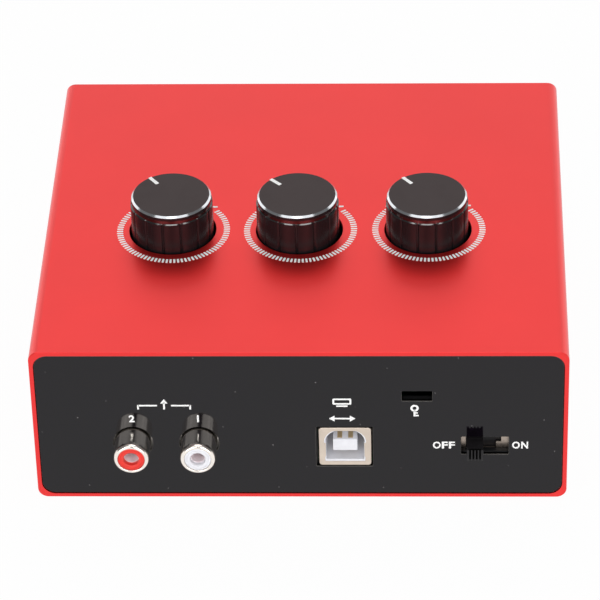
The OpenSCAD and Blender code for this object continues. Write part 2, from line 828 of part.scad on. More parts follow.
module audio_chip() color("dimgray") {
    block([usb_x - chip_w / 2, chip_y - chip_w / 2, board_top],
          [usb_x + chip_w / 2, chip_y + chip_w / 2, board_top + chip_h]);
}

module converter_chip() color("dimgray") {
    block([knob_xs[0] - converter_w / 2, knob_y - converter_d / 2, board_top],
          [knob_xs[0] + converter_w / 2, knob_y + converter_d / 2, board_top + chip_h]);
}

module clock_crystal() color("silver") {
    translate([switch_x, crystal_y, board_top]) linear_extrude(height = crystal_h) {
        rounded_rect(crystal_w, crystal_d, crystal_d / 2 - fit_gap);
    }
}

module capacitors() color("silver") {
    for (i = [0 : capacitor_count - 1]) {
        x = rca_x + (i - (capacitor_count - 1) / 2) * capacitor_pitch;
        translate([x, capacitor_y, board_top]) {
            linear_extrude(height = capacitor_base_h) square(capacitor_d, center = true);
            translate([0, 0, capacitor_base_h]) cylinder(d = capacitor_d, h = capacitor_h - capacitor_base_h);
        }
    }
}

// Knobs and potentiometers, one set for each knob axis

module shaft_section(d, flat) difference() {
    circle(d = d);
    translate([d / 2 - flat, -d]) square([2 * d, 2 * d]);
}

module knob(i) color("black") translate([knob_xs[i], knob_y, 0]) difference() {
    union() {
        translate([0, 0, knob_foot_z]) {
            cylinder(d1 = knob_base_d, d2 = knob_skirt_d, h = knob_step_z - knob_foot_z);
        }
        translate([0, 0, knob_step_z]) cylinder(d = knob_band_d, h = knob_seat_z - knob_step_z);
        translate([0, 0, hub_z]) cylinder(d = hub_d, h = knob_seat_z - hub_z);
    }
    knob_hollow();
    for (a = [1 : flute_count]) {
        rotate(a * 360 / flute_count) translate([knob_skirt_d / 2, 0, knob_foot_z - cut]) {
            cylinder(d = flute_d, h = knob_step_z - knob_foot_z + cut - flute_d);
        }
    }
    translate([0, 0, hub_z - cut]) linear_extrude(height = shaft_tip - hub_z + 2 * cut) {
        shaft_section(shaft_d + 2 * fit_gap, shaft_flat);
    }
}

// Ring-shaped space between a knob's hub and its skirt
module knob_hollow() {
    height = knob_seat_z - knob_deck - knob_foot_z;
    translate([0, 0, knob_foot_z - cut]) difference() {
        cylinder(d = knob_band_d - 2 * skirt_wall, h = height + cut);
        translate([0, 0, -cut]) cylinder(d = hub_d, h = height + 3 * cut);
    }
}

module knob_cap(i) color("dimgray") translate([knob_xs[i], knob_y, knob_seat_z]) difference() {
    union() {
        cylinder(d = knob_band_d, h = cap_t - cap_bevel);
        translate([0, 0, cap_t - cap_bevel]) {
            cylinder(d1 = knob_band_d, d2 = knob_band_d - 2 * cap_bevel, h = cap_bevel);
        }
    }
    rotate(pointers[i]) {
        outer = knob_band_d / 2 - cap_bevel - pointer_inset;
        translate([outer - pointer_len, -pointer_w / 2, cap_t - pointer_cut]) {
            cube([pointer_len, pointer_w, cut]);
        }
    }
}

module pot_shaft(i) color("silver") translate([knob_xs[i], knob_y, 0]) {
    translate([0, 0, rotor_z]) cylinder(d = rotor_d, h = rotor_h);
    translate([0, 0, rotor_z - pivot_len]) cylinder(d = pivot_d, h = pivot_len);
    translate([0, 0, rotor_z]) cylinder(d = shaft_d, h = hub_z - rotor_z);
    translate([0, 0, hub_z]) linear_extrude(height = shaft_tip - hub_z) {
        shaft_section(shaft_d, shaft_flat + fit_gap);
    }
}

module pot_housing(i) color("darkgreen") translate([knob_xs[i], knob_y, 0]) difference() {
    block([-pot_w / 2, -pot_d / 2, control_top], [pot_w / 2, pot_d / 2, pot_top]);
    translate([0, 0, rotor_z - rotor_gap]) {
        cylinder(d = rotor_d + 2 * rotor_gap, h = rotor_h + 2 * rotor_gap);
    }
    translate([0, 0, rotor_z]) cylinder(d = shaft_d + 2 * shaft_run, h = pot_top - rotor_z + cut);
    translate([0, 0, rotor_z - pivot_len - rotor_gap / 2]) {
        cylinder(d = pivot_d + 2 * shaft_run, h = pivot_len);
    }
}

// Terminals under every potentiometer, widened by grow
module pot_pins(grow) {
    for (x = knob_xs, i = [-1, 0, 1]) {
        pin(x + i * pot_pin_pitch, pot_pin_y, pin_w + 2 * grow, pin_t + 2 * grow,
            control_z - pin_out - grow, control_top);
    }
}

module pot_terminals() color("silver") pot_pins(0);

// Phono jacks

// Turned shape about a jack's axis, drawn with its length measured outwards from plane y
module rca_turned(x, y) {
    translate([x, y, rca_z]) rotate([90, 0, 0]) rotate_extrude() children();
}

module rca_shell(i) color("silver") rca_turned(rca_xs[i], rca_shell_end) {
    length = rca_shell_end - rca_front_y;
    inner = rca_bore_d / 2;
    outer = rca_d / 2;
    translate([inner, 0]) square([outer - inner, length - rca_rim_r]);
    translate([inner, 0]) square([outer - rca_rim_r - inner, length]);
    translate([outer - rca_rim_r, length - rca_rim_r]) intersection() {
        circle(r = rca_rim_r);
        square(rca_rim_r);
    }
    translate([inner, rca_seat]) square([rca_flange_d / 2 - inner, rca_flange_t]);
}

module rca_insert(i) rca_turned(rca_xs[i], rca_insert_end) {
    length = rca_insert_end - rca_insert_front;
    pocket = rca_contact_d / 2 + fit_gap;
    translate([pocket, 0]) square([rca_insert_d / 2 - pocket, length]);
    translate([rca_mouth_d / 2, length - rca_mouth_len]) {
        square([rca_insert_d / 2 - rca_mouth_d / 2, rca_mouth_len]);
    }
}

module rca_contacts() color("silver") for (x = rca_xs) {
    difference() {
        rod_y(x, rca_z, rca_contact_d, rca_contact_front, rca_insert_end);
        rod_y(x, rca_z, rca_contact_bore, rca_contact_front - cut, rca_contact_front + rca_contact_len);
    }
    pin(x, rca_blade_y, pin_w, pin_w, board_z - pin_out, rca_z + pin_w);
}

module rca_housing() color("dimgray") difference() {
    side = rca_pitch / 2 + rca_flange_d / 2 + rca_side;
    block([rca_x - side, rca_housing_y, board_top],
          [rca_x + side, rca_housing_end, rca_z + rca_flange_d / 2]);
    for (x = rca_xs) {
        rod_y(x, rca_z, rca_d + 2 * fit_gap, rca_housing_y - cut, rca_shell_end + fit_gap);
        rod_y(x, rca_z, rca_bore_d, rca_housing_y, rca_insert_end + fit_gap);
        block([x - pin_w / 2 - fit_gap, rca_insert_end - fit_gap, board_top - cut],
              [x + pin_w / 2 + fit_gap, rca_housing_end + cut, rca_z + pin_w + fit_gap]);
    }
}

// USB socket

// Plug-shaped outline with slanted upper corners
module usb_outline(w, h) {
    polygon([
        [-w / 2, -h / 2], [w / 2, -h / 2], [w / 2, h / 2 - usb_slant_h], [w / 2 - usb_slant_w, h / 2],
        [-w / 2 + usb_slant_w, h / 2], [-w / 2, h / 2 - usb_slant_h]
    ]);
}

module usb_shell() color("tan") difference() {
    upright(usb_front_y, usb_front_y + usb_d) translate([usb_x, usb_z]) square([usb_w, usb_h], center = true);
    upright(usb_front_y + usb_sheet, usb_front_y + usb_d + cut) translate([usb_x, usb_z]) {
        square([usb_w - 2 * usb_sheet, usb_h - 2 * usb_sheet], center = true);
    }
    upright(usb_front_y - cut, usb_front_y + usb_d) translate([usb_x, usb_z]) {
        usb_outline(usb_mouth_w, usb_mouth_h);
    }
    for (i = [-1, 1]) {
        block([usb_contact_x(i) - usb_contact_w, usb_body_end - usb_contact_w, board_top - cut],
              [usb_contact_x(i) + usb_contact_w, usb_front_y + usb_d + cut, board_top + usb_sheet + cut]);
    }
}

module usb_insulator() color("white") difference() {
    union() {
        upright(usb_body_y, usb_body_end) translate([usb_x, usb_z]) difference() {
            square([usb_body_w, usb_body_h], center = true);
            usb_outline(usb_plug_w, usb_plug_h);
        }
        upright(usb_body_end - usb_back, usb_body_end) translate([usb_x, usb_z]) {
            square([usb_body_w, usb_body_h], center = true);
        }
        upright(usb_front_y + usb_tongue_back, usb_body_end) translate([usb_x, usb_z]) {
            square([usb_tongue_w, usb_tongue_h], center = true);
        }
    }
    for (i = [-1, 1], j = [0, 1]) usb_strip(i, j, fit_gap);
}

function usb_contact_x(i) = usb_x + i * usb_contact_pitch / 2;
function usb_leg_y(j) = usb_tail_y + (1 + 3 * j) * usb_contact_t;
function usb_strip_z(j) = usb_z + (2 * j - 1) * (usb_tongue_h / 2 - usb_contact_t / 4);

// Flat part of a contact on the tongue, widened by grow; j is 0 below the tongue and 1 above it
module usb_strip(i, j, grow) {
    start = usb_front_y + usb_tongue_back + usb_contact_back;
    half_w = usb_contact_w / 2 + grow;
    half_t = usb_contact_t / 2 + grow;
    block([usb_contact_x(i) - half_w, start - grow, usb_strip_z(j) - half_t],
          [usb_contact_x(i) + half_w, usb_leg_y(j) + grow, usb_strip_z(j) + half_t]);
}

module usb_contacts() color("gold") for (i = [-1, 1], j = [0, 1]) {
    usb_strip(i, j, 0);
    pin(usb_contact_x(i), usb_leg_y(j), usb_contact_w, usb_contact_t,
        board_z - pin_out, usb_strip_z(j) + usb_contact_t / 2);
}

// Power switch, drawn at OFF

module switch_frame() color("tan") difference() {
    union() {
        upright(frame_y, frame_end) translate([switch_x, switch_z]) square([frame_w, frame_h], center = true);
        for (s = [-1, 1]) {
            leg_x = switch_x + s * (frame_w - frame_sheet) / 2;
            block([leg_x - frame_sheet / 2, frame_y + frame_sheet, board_top],
                  [leg_x + frame_sheet / 2, frame_end, switch_z]);
        }
    }
    upright(frame_y + frame_sheet, frame_end + cut) translate([switch_x, switch_z]) {
        square([frame_in_w, frame_in_h], center = true);
    }
    upright(frame_y - cut, frame_end) frame_slot();
}

// Opening for the slider's stem, with a stop tab left in its lower right corner
module frame_slot() {
    left = grip_off_x - grip_w / 2 - slide_gap;
    right = grip_off_x + switch_travel + grip_w / 2 + slide_gap;
    step = switch_z + stem_low - slide_gap;
    translate([left, step]) square([right - left, switch_z + switch_slot_h / 2 - step]);
    translate([left, switch_z - switch_slot_h / 2]) {
        square([right - left - stop_tab_w, step - switch_z + switch_slot_h / 2]);
    }
}

module switch_base() color("saddlebrown") difference() {
    upright(base_y, frame_end) translate([switch_x, switch_z]) {
        square([frame_in_w - 2 * fit_gap, frame_in_h - 2 * fit_gap], center = true);
    }
    for (i = [-1, 0, 1]) terminal_stud(i, fit_gap);
}

module switch_slider() color("black") difference() {
    union() {
        upright(slider_y, slider_y + slider_t) translate([grip_off_x, switch_z]) {
            square([slider_w, frame_in_h - 2 * slide_gap], center = true);
        }
        upright(rear_face_y - groove_cut, slider_y) {
            translate([grip_off_x - grip_w / 2, switch_z + stem_low]) square([grip_w, stem_h]);
        }
        upright(rear_face_y - grip_out, rear_face_y - slide_gap) {
            translate([grip_off_x, switch_z + grip_up]) square([grip_w, grip_h], center = true);
        }
    }
    for (i = [1 : grip_grooves]) {
        x = grip_off_x + (i - (grip_grooves + 1) / 2) * grip_w / (grip_grooves + 1);
        block([x - groove_w / 2, rear_face_y - grip_out - cut, switch_z - grip_h],
              [x + groove_w / 2, rear_face_y - grip_out + groove_cut, switch_z + grip_h]);
    }
}

module switch_wiper() color("gold") {
    upright(wiper_y, wiper_y + wiper_t) translate([grip_off_x, switch_z]) {
        square([terminal_pitch + 2 * pin_w, frame_in_h / 2], center = true);
    }
}

function terminal_x(i) = switch_x + i * terminal_pitch;

// Contact stud through the switch base, widened by grow
module terminal_stud(i, grow) {
    block([terminal_x(i) - pin_t / 2 - grow, terminal_y - grow, switch_z - pin_w - grow],
          [terminal_x(i) + pin_t / 2 + grow, terminal_end + grow, switch_z + pin_w + grow]);
}

module switch_terminals() color("silver") for (i = [-1, 0, 1]) {
    terminal_stud(i, 0);
    pin(terminal_x(i), terminal_end - pin_w / 2, pin_t, pin_w, board_z - pin_out, switch_z);
}

// Front sockets

function combo_leg_x(a) = combo_x + combo_pin_circle * cos(a);

module combo_jack_body() color("dimgray") difference() {
    union() {
        block([combo_x - combo_w / 2, combo_start, board_top],
              [combo_x + combo_w / 2, combo_end, jack_z + combo_d / 2 + combo_roof]);
        rod_y(combo_x, jack_z, combo_d, combo_end - seat_gap, combo_front);
    }
    rod_y(combo_x, jack_z, jack_bore, combo_start - cut, combo_front + cut);
    difference() {
        rod_y(combo_x, jack_z, combo_ring_outer, combo_front - combo_ring_depth, combo_front + cut);
        rod_y(combo_x, jack_z, combo_ring_inner, combo_front - combo_ring_depth - cut, combo_front + 2 * cut);
    }
    for (a = combo_angles) {
        z = jack_z + combo_pin_circle * sin(a);
        rod_y(combo_leg_x(a), z, combo_pin_d + 2 * fit_gap, combo_start - cut, combo_front + cut);
    }
}

module combo_jack_contacts() color("gold") for (a = combo_angles) {
    x = combo_leg_x(a);
    z = jack_z + combo_pin_circle * sin(a);
    front = combo_front - cut;
    difference() {
        rod_y(x, z, combo_pin_d, combo_start - pin_t, front);
        rod_y(x, z, combo_pin_bore, front - combo_pin_depth, front + cut);
    }
    pin(x, combo_start - pin_t / 2, pin_w, pin_t, board_z - pin_out, z);
}

function jack_blade_x(x, i) = x + (i == 1 ? -1 : 1) * (blade_x + pin_t / 2);
function jack_blade_y(i) = (jack_start + jack_end) / 2 + (i - 1) * blade_pitch;

module jack_body(x) color("dimgray") difference() {
    union() {
        block([x - jack_w / 2, jack_start, board_top], [x + jack_w / 2, jack_end, jack_z + jack_roof]);
        rod_y(x, jack_z, bush_d, jack_end - seat_gap, bush_front);
    }
    rod_y(x, jack_z, jack_bore, jack_start - cut, bush_front + cut);
    for (i = [0, 1, 2]) {
        pin(jack_blade_x(x, i), jack_blade_y(i), pin_t + 2 * fit_gap, blade_w + 2 * fit_gap,
            board_top - cut, jack_z + blade_w / 2 + fit_gap);
    }
}

module instrument_jack() jack_body(instrument_x);

module phones_jack() jack_body(phones_x);

module jack_contacts() color("gold") for (x = jack_xs, i = [0, 1, 2]) {
    pin(jack_blade_x(x, i), jack_blade_y(i), pin_t, blade_w, board_z - pin_out, jack_z + blade_w / 2);
}

// Ring on a bush, from y0 to y1
module bush_ring(x, d, y0, y1, sides) difference() {
    translate([x, y0, jack_z]) rotate([-90, 0, 0]) cylinder(d = d, h = y1 - y0, $fn = sides);
    rod_y(x, jack_z, bush_d + 2 * fit_gap, y0 - cut, y1 + cut);
}

module jack_washers() color("silver") for (x = jack_xs) {
    bush_ring(x, washer_d, front_face_y, front_face_y + washer_t, $fn);
}

module jack_nuts() color("silver") for (x = jack_xs) {
    bush_ring(x, nut_d, front_face_y + washer_t, front_face_y + washer_t + nut_t, 6);
}

// Phantom power button and lights

module phantom_button() color("whitesmoke") difference() {
    rod_y(button_x, button_z, button_d, button_end, button_front);
    plunger(fit_gap);
}

// Square rod from the button into its switch, widened by grow
module plunger(grow) {
    half = plunger_w / 2 + grow;
    block([button_x - half, button_switch_front - plunger_depth, button_z - half],
          [button_x + half, button_end + plunger_seat + grow, button_z + half]);
}

module phantom_plunger() color("black") plunger(0);

module phantom_switch() color("dimgray") difference() {
    half = plunger_w / 2 + slide_gap;
    block([button_x - button_switch_w / 2, button_switch_start, board_top],
          [button_x + button_switch_w / 2, button_switch_front, board_top + button_switch_h]);
    block([button_x - half, button_switch_front - plunger_depth - button_travel - slide_gap, button_z - half],
          [button_x + half, button_switch_front + cut, button_z + half]);
}

module status_leds() color("limegreen") for (x = light_xs) {
    rod_y(x, light_z, light_d, light_start, front_face_y + light_out - light_tip_h);
    translate([x, front_face_y + light_out - light_tip_h, light_z]) rotate([-90, 0, 0]) {
        cylinder(d1 = light_d, d2 = light_tip_d, h = light_tip_h);
    }
    rod_y(x, light_z, light_flange_d, light_start, light_start + light_flange_t);
}

module led_leads() color("silver") for (x = light_xs, s = [-1, 1]) {
    lead_x = x + s * lead_pitch / 2;
    pin(lead_x, lead_y, pin_t, pin_t, board_z - pin_out, light_z);
    block([lead_x - pin_t / 2, lead_y, light_z - pin_t / 2],
          [lead_x + pin_t / 2, light_start, light_z + pin_t / 2]);
}

case_sleeve();
rear_plate();
rear_faceplate();
front_plate();
front_faceplate();
rear_plate_screws();
front_plate_screws();
rubber_feet();
main_board();
control_board();
board_spacers();
spacer_screws();
link_socket();
link_header();
link_pins();
audio_chip();
converter_chip();
clock_crystal();
capacitors();
knob(0);  // knob_left
knob(1);  // knob_middle
knob(2);  // knob_right
knob_cap(0);  // knob_cap_left
knob_cap(1);  // knob_cap_middle
knob_cap(2);  // knob_cap_right
pot_shaft(0);  // pot_shaft_left
pot_shaft(1);  // pot_shaft_middle
pot_shaft(2);  // pot_shaft_right
pot_housing(0);  // pot_housing_left
pot_housing(1);  // pot_housing_middle
pot_housing(2);  // pot_housing_right
pot_terminals();
rca_shell(0);  // rca_shell_left
rca_shell(1);  // rca_shell_right
color("red") rca_insert(0);  // rca_insert_left
color("white") rca_insert(1);  // rca_insert_right
rca_contacts();
rca_housing();
usb_shell();
usb_insulator();
usb_contacts();
switch_frame();
switch_base();
switch_slider();
switch_wiper();
switch_terminals();
combo_jack_body();
combo_jack_contacts();
instrument_jack();
phones_jack();
jack_contacts();
jack_nuts();
jack_washers();
phantom_button();
phantom_plunger();
phantom_switch();
status_leds();
led_leads();
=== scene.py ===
"""Looks of a desktop audio interface: case, panels, knobs, sockets, print and finishes around its frame.

Meshes are worked in millimetres in the part's own frame and become metres when a piece is placed. X runs
along the rear panel, Y from the rear panel to the front panel, Z up. Left and right are as seen from behind.
"""

import json
import logging
import math
from collections.abc import Iterable, Sequence
from dataclasses import dataclass, field, replace
from enum import Enum
from itertools import pairwise

import bmesh
import bpy
from mathutils import Matrix, Vector


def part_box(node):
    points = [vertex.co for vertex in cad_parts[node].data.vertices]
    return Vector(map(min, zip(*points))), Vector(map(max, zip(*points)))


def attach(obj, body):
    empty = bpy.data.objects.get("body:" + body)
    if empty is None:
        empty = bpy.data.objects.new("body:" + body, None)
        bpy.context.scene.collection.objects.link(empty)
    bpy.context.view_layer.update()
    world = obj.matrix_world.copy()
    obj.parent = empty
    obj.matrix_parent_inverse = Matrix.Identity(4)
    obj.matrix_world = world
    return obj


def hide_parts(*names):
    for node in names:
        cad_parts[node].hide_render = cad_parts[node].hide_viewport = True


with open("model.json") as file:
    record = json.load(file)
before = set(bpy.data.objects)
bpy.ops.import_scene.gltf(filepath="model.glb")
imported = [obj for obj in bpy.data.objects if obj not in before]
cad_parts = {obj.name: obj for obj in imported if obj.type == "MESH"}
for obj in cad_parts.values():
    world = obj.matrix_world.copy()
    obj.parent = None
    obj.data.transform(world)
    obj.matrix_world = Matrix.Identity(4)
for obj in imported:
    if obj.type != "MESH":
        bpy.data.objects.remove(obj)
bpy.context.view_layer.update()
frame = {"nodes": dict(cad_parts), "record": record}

LOG = logging.getLogger("audio_interface")
MM = 0.001
CHASSIS = "chassis"
PHONE_SOCKETS = ("instrument_jack", "phones_jack")
CORNER_SIGNS = ((-1, -1), (1, -1), (1, 1), (-1, 1))

Point = tuple[float, float, float]
Flat = tuple[float, float]
Colour = tuple[float, float, float]
Edges = list[bmesh.types.BMEdge]
Faces = list[bmesh.types.BMFace]


class Axis(Enum):
    """Directions that turned and drilled shapes are made along."""

    REARWARD = (0.0, -1.0, 0.0)
    FORWARD = (0.0, 1.0, 0.0)
    UP = (0.0, 0.0, 1.0)

    @property
    def turn(self) -> Matrix:
        """Rotation that brings +Z onto this direction."""
        return Vector((0, 0, 1)).rotation_difference(Vector(self.value)).to_matrix().to_4x4()


@dataclass(frozen=True)
class Span:
    """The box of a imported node, in millimetres."""

    low: Vector
    high: Vector

    @classmethod
    def of(cls, node: str) -> "Span":
        """Reads a node's box from the frame."""
        low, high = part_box(node)
        return cls(low / MM, high / MM)

    @property
    def centre(self) -> Vector:
        """Middle of the box."""
        return (self.low + self.high) / 2

    @property
    def size(self) -> Vector:
        """Lengths of the box's sides."""
        return self.high - self.low


def arc(centre: Flat, radius: float, start: float, end: float, steps: int = 6) -> list[Flat]:
    """Points along a round stretch of a profile.

    Args:
        centre: Centre of the arc.
        radius: Radius of the arc.
        start: First direction in degrees, counted from the profile's first axis.
        end: Last direction in degrees.
        steps: Number of straight steps.

    Returns:
        The points from start to end.
    """
    angles = [math.radians(start + (end - start) * i / steps) for i in range(steps + 1)]
    return [(centre[0] + radius * math.cos(a), centre[1] + radius * math.sin(a)) for a in angles]


def upright(centre: Flat, size: Flat, y: float) -> list[Point]:
    """Corners of a rectangle that stands parallel to the panels.

    Args:
        centre: X and Z of its middle.
        size: Width and height.
        y: Plane that it stands in.

    Returns:
        The four corners in order.
    """
    half_w, half_h = size[0] / 2, size[1] / 2
    return [(centre[0] + sx * half_w, y, centre[1] + sz * half_h) for sx, sz in CORNER_SIGNS]


class Relief(Enum):
    """Kinds of fine relief that a surface is left with."""

    GRAIN = "grain"
    BRUSHED = "brushed"
    SPUN = "spun"


class Nodes:
    """Short-hand for wiring one tree of shader nodes."""

    def __init__(self, owner: bpy.types.ID) -> None:
        """Empties the node tree of a material or a world.

        Args:
            owner: The material or world.
        """
        owner.use_nodes = True
        self.tree = owner.node_tree
        self.tree.nodes.clear()

    def add(self, kind: str, **inputs: object) -> bpy.types.ShaderNode:
        """Adds a node and sets or links its inputs.

        Args:
            kind: Blender's name for the node.
            inputs: Values or sockets by input name, with spaces written as underscores.

        Returns:
            The new node.
        """
        node = self.tree.nodes.new(kind)
        for name, value in inputs.items():
            self.join(node.inputs[name.replace("_", " ")], value)
        return node

    def join(self, socket: bpy.types.NodeSocket, value: object) -> None:
        """Links a socket to an output, or sets it to a plain value.

        Args:
            socket: The input.
            value: An output, or a plain value.
        """
        if isinstance(value, bpy.types.NodeSocket):
            self.tree.links.new(value, socket)
        else:
            socket.default_value = value

    def math(self, operation: str, first: object, second: object) -> bpy.types.NodeSocket:
        """Works out one sum of two values or sockets.

        Args:
            operation: Blender's name for the sum.
            first: First value or socket.
            second: Second value or socket.

        Returns:
            The result.
        """
        node = self.add("ShaderNodeMath")
        node.operation = operation
        self.join(node.inputs[0], first)
        self.join(node.inputs[1], second)
        return node.outputs[0]


class Wiring(Nodes):
    """The nodes of one material, around a full surface shader."""

    NOISE_MIDDLE = (0.3, 0.7)
    MIX_COLOURS = (6, 7)
    MIX_RESULT = 2

    def __init__(self, name: str) -> None:
        """Starts a material with an empty surface shader.

        Args:
            name: Name of the material.
        """
        self.material = bpy.data.materials.new(name)
        super().__init__(self.material)
        self.shader = self.add("ShaderNodeBsdfPrincipled")
        self.add("ShaderNodeOutputMaterial", Surface=self.shader.outputs[0])
        self.place = self.add("ShaderNodeTexCoord").outputs["Object"]

    def noise(self, size: float, detail: float = 2.0, vector: object = None) -> bpy.types.NodeSocket:
        """Soft noise over the piece.

        Args:
            size: Size of its patches in millimetres.
            detail: Number of finer layers.
            vector: Coordinates to read, the piece's own if not given.

        Returns:
            The noise's value, from 0 to 1.
        """
        place = self.place if vector is None else vector
        node = self.add("ShaderNodeTexNoise", Vector=place, Scale=1 / (size * MM), Detail=detail)
        return node.outputs[0]

    def spread(self, value: bpy.types.NodeSocket, low: float, high: float) -> bpy.types.NodeSocket:
        """Maps the middle of a noise's range onto low to high.

        Args:
            value: The noise.
            low: Result at its lower end.
            high: Result at its upper end.

        Returns:
            The mapped value.
        """
        least, most = self.NOISE_MIDDLE
        node = self.add(
            "ShaderNodeMapRange", Value=value, From_Min=least, From_Max=most, To_Min=low, To_Max=high,
        )
        return node.outputs[0]

    def mix(self, share: object, first: object, second: object) -> bpy.types.NodeSocket:
        """Mixes two colours by a share from 0 to 1.

        Args:
            share: Share of the second colour.
            first: First colour or socket.
            second: Second colour or socket.

        Returns:
            The mixed colour.
        """
        node = self.tree.nodes.new("ShaderNodeMix")
        node.data_type = "RGBA"
        self.join(node.inputs[0], share)
        for index, colour in zip(self.MIX_COLOURS, (first, second)):
            self.join(node.inputs[index], colour)
        return node.outputs[self.MIX_RESULT]

    def bump(self, height: bpy.types.NodeSocket, depth: float) -> None:
        """Gives the surface a fine relief.

        Args:
            height: Height from 0 to 1.
            depth: Real height of the relief in millimetres.
        """
        node = self.add("ShaderNodeBump", Strength=1.0, Distance=depth * MM, Height=height)
        self.tree.links.new(node.outputs[0], self.shader.inputs["Normal"])


@dataclass(frozen=True)
class Finish:
    """Colour, gloss and fine relief of one surface, with lengths in millimetres."""

    CLOUD_DETAIL = 3
    GLOSS_PATCHES = 3
    BRUSH_STRETCH = (0.03, 1.0, 1.0)
    LINE_DETAIL = 2.0

    name: str
    colour: Colour
    roughness: float
    metallic: float = 0.0
    specular: float = 0.5
    relief: Relief = Relief.GRAIN
    grain: float = 0.4
    depth: float = 0.002
    mottle: float = 0.08
    patch: float = 12.0
    drift: float = 0.12
    coat: float = 0.0
    coat_roughness: float = 0.1
    anisotropy: float = 0.0
    centre: Point = (0.0, 0.0, 0.0)

    @property
    def label(self) -> str:
        """Name of the Blender material, apart from those that come with the frame."""
        return f"finish_{self.name}"

    def material(self) -> bpy.types.Material:
        """The Blender material, made on first use."""
        return bpy.data.materials.get(self.label) or self.wire().material

    def wire(self) -> Wiring:
        """Wires the material's nodes.

        Returns:
            The wiring, for a finish that adds to it.
        """
        w = Wiring(self.label)
        shader = w.shader
        cloud = w.spread(w.noise(self.patch, self.CLOUD_DETAIL), 0, 1)
        dark = tuple(c * (1 - self.mottle) for c in self.colour) + (1.0,)
        pale = tuple(min(1.0, c * (1 + self.mottle)) for c in self.colour) + (1.0,)
        w.join(shader.inputs["Base Color"], w.mix(cloud, dark, pale))
        least, most = ((1 + way * self.drift) * self.roughness for way in (-1, 1))
        rough = w.spread(w.noise(self.patch / self.GLOSS_PATCHES), least, most)
        w.join(shader.inputs["Roughness"], rough)
        plain = {
            "Metallic": self.metallic, "Specular IOR Level": self.specular, "Coat Weight": self.coat,
            "Coat Roughness": self.coat_roughness,
        }
        for name, value in plain.items():
            w.join(shader.inputs[name], value)
        if self.anisotropy:
            shader.inputs["Anisotropic"].default_value = self.anisotropy
            tangent = w.add("ShaderNodeTangent")
            tangent.direction_type = "RADIAL"
            tangent.axis = "Z"
            w.join(shader.inputs["Tangent"], tangent.outputs[0])
        w.bump(self.height(w), self.depth)
        return w

    def height(self, w: Wiring) -> bpy.types.NodeSocket:
        """Height of the fine relief.

        Args:
            w: The wiring to add nodes to.

        Returns:
            A height from 0 to 1.
        """
        if self.relief is Relief.GRAIN:
            return w.noise(self.grain, self.CLOUD_DETAIL)
        if self.relief is Relief.BRUSHED:
            stretch = w.add("ShaderNodeMapping", Vector=w.place, Scale=self.BRUSH_STRETCH)
            return w.noise(self.grain, self.LINE_DETAIL, stretch.outputs[0])
        middle = (-self.centre[0] * MM, -self.centre[1] * MM, 0.0)
        moved = w.add("ShaderNodeMapping", Vector=w.place, Location=middle, Scale=(1.0, 1.0, 0.0))
        length = w.add("ShaderNodeVectorMath", Vector=moved.outputs[0])
        length.operation = "LENGTH"
        rings = w.add("ShaderNodeTexNoise", Scale=1 / (self.grain * MM), Detail=self.LINE_DETAIL)
        rings.noise_dimensions = "1D"
        w.join(rings.inputs["W"], length.outputs["Value"])
        return rings.outputs[0]


@dataclass(frozen=True)
class DustyFinish(Finish):
    """A gloss finish with a few specks of dust."""

    speck: float = 0.16
    spacing: float = 9.0
    share: float = 0.6
    dust: Colour = (0.16, 0.15, 0.15)

    def wire(self) -> Wiring:
        """Wires the plain finish and lays the dust over it.

        Returns:
            The wiring.
        """
        w = super().wire()
        flat = w.add("ShaderNodeMapping", Vector=w.place, Rotation=(-math.pi / 2, 0.0, 0.0))
        cells = w.add("ShaderNodeTexVoronoi", Vector=flat.outputs[0], Scale=1 / (self.spacing * MM))
        cells.voronoi_dimensions = "2D"
        near = w.math("LESS_THAN", cells.outputs["Distance"], self.speck / self.spacing)
        shade = w.add("ShaderNodeSeparateColor", Color=cells.outputs["Color"])
        chosen = w.math("LESS_THAN", shade.outputs[0], self.share)
        faint = w.math("MULTIPLY", w.math("MULTIPLY", near, chosen), shade.outputs[1])
        base = w.shader.inputs["Base Color"]
        plain = base.links[0].from_socket
        w.join(base, w.mix(faint, plain, self.dust + (1.0,)))
        return w


CASE_RED = Finish(
    "case_red", (0.855, 0.030, 0.029), 0.43, 0.96, grain=0.22, depth=0.004, mottle=0.018, patch=24,
    drift=0.03, coat=0.52, coat_roughness=0.22,
)
PANEL_BLACK = DustyFinish("panel_black", (0.0018, 0.0008, 0.0024), 0.06, specular=0.355, grain=14, depth=0.01)
CUT_EDGE = Finish("panel_cut_edge", (0.07, 0.064, 0.06), 0.5, grain=0.15, depth=0.01, patch=3)
PRINT_WHITE = Finish("print_white", (0.93, 0.93, 0.92), 0.5, grain=0.1, depth=0.002, mottle=0.03, patch=4)
PLATE_STEEL = Finish("plate_steel", (0.020, 0.020, 0.021), 0.45, 0.3, relief=Relief.BRUSHED, grain=0.12)
FOOT_RUBBER = Finish("foot_rubber", (0.022, 0.022, 0.023), 0.8, grain=0.25, depth=0.02)
BOARD_GREEN = Finish("board_green", (0.012, 0.09, 0.035), 0.3, grain=0.5, depth=0.004, mottle=0.2, patch=4)
SPACER_BRASS = Finish("spacer_brass", (0.66, 0.43, 0.14), 0.28, 1.0, grain=0.15)
BLACK_PLASTIC = Finish("black_plastic", (0.012, 0.012, 0.013), 0.38, grain=0.3, depth=0.003, mottle=0.15)
CONTACT_GOLD = Finish("contact_gold", (0.62, 0.46, 0.25), 0.4, 0.4, grain=0.2, mottle=0.15, patch=2)
CAN_ALUMINIUM = Finish("can_aluminium", (0.75, 0.76, 0.78), 0.3, 1.0, relief=Relief.BRUSHED, grain=0.1)
KNOB_EDGE = Finish("knob_edge", (0.006, 0.005, 0.005), 0.13, specular=1.0, grain=0.3, depth=0.0005, patch=4)
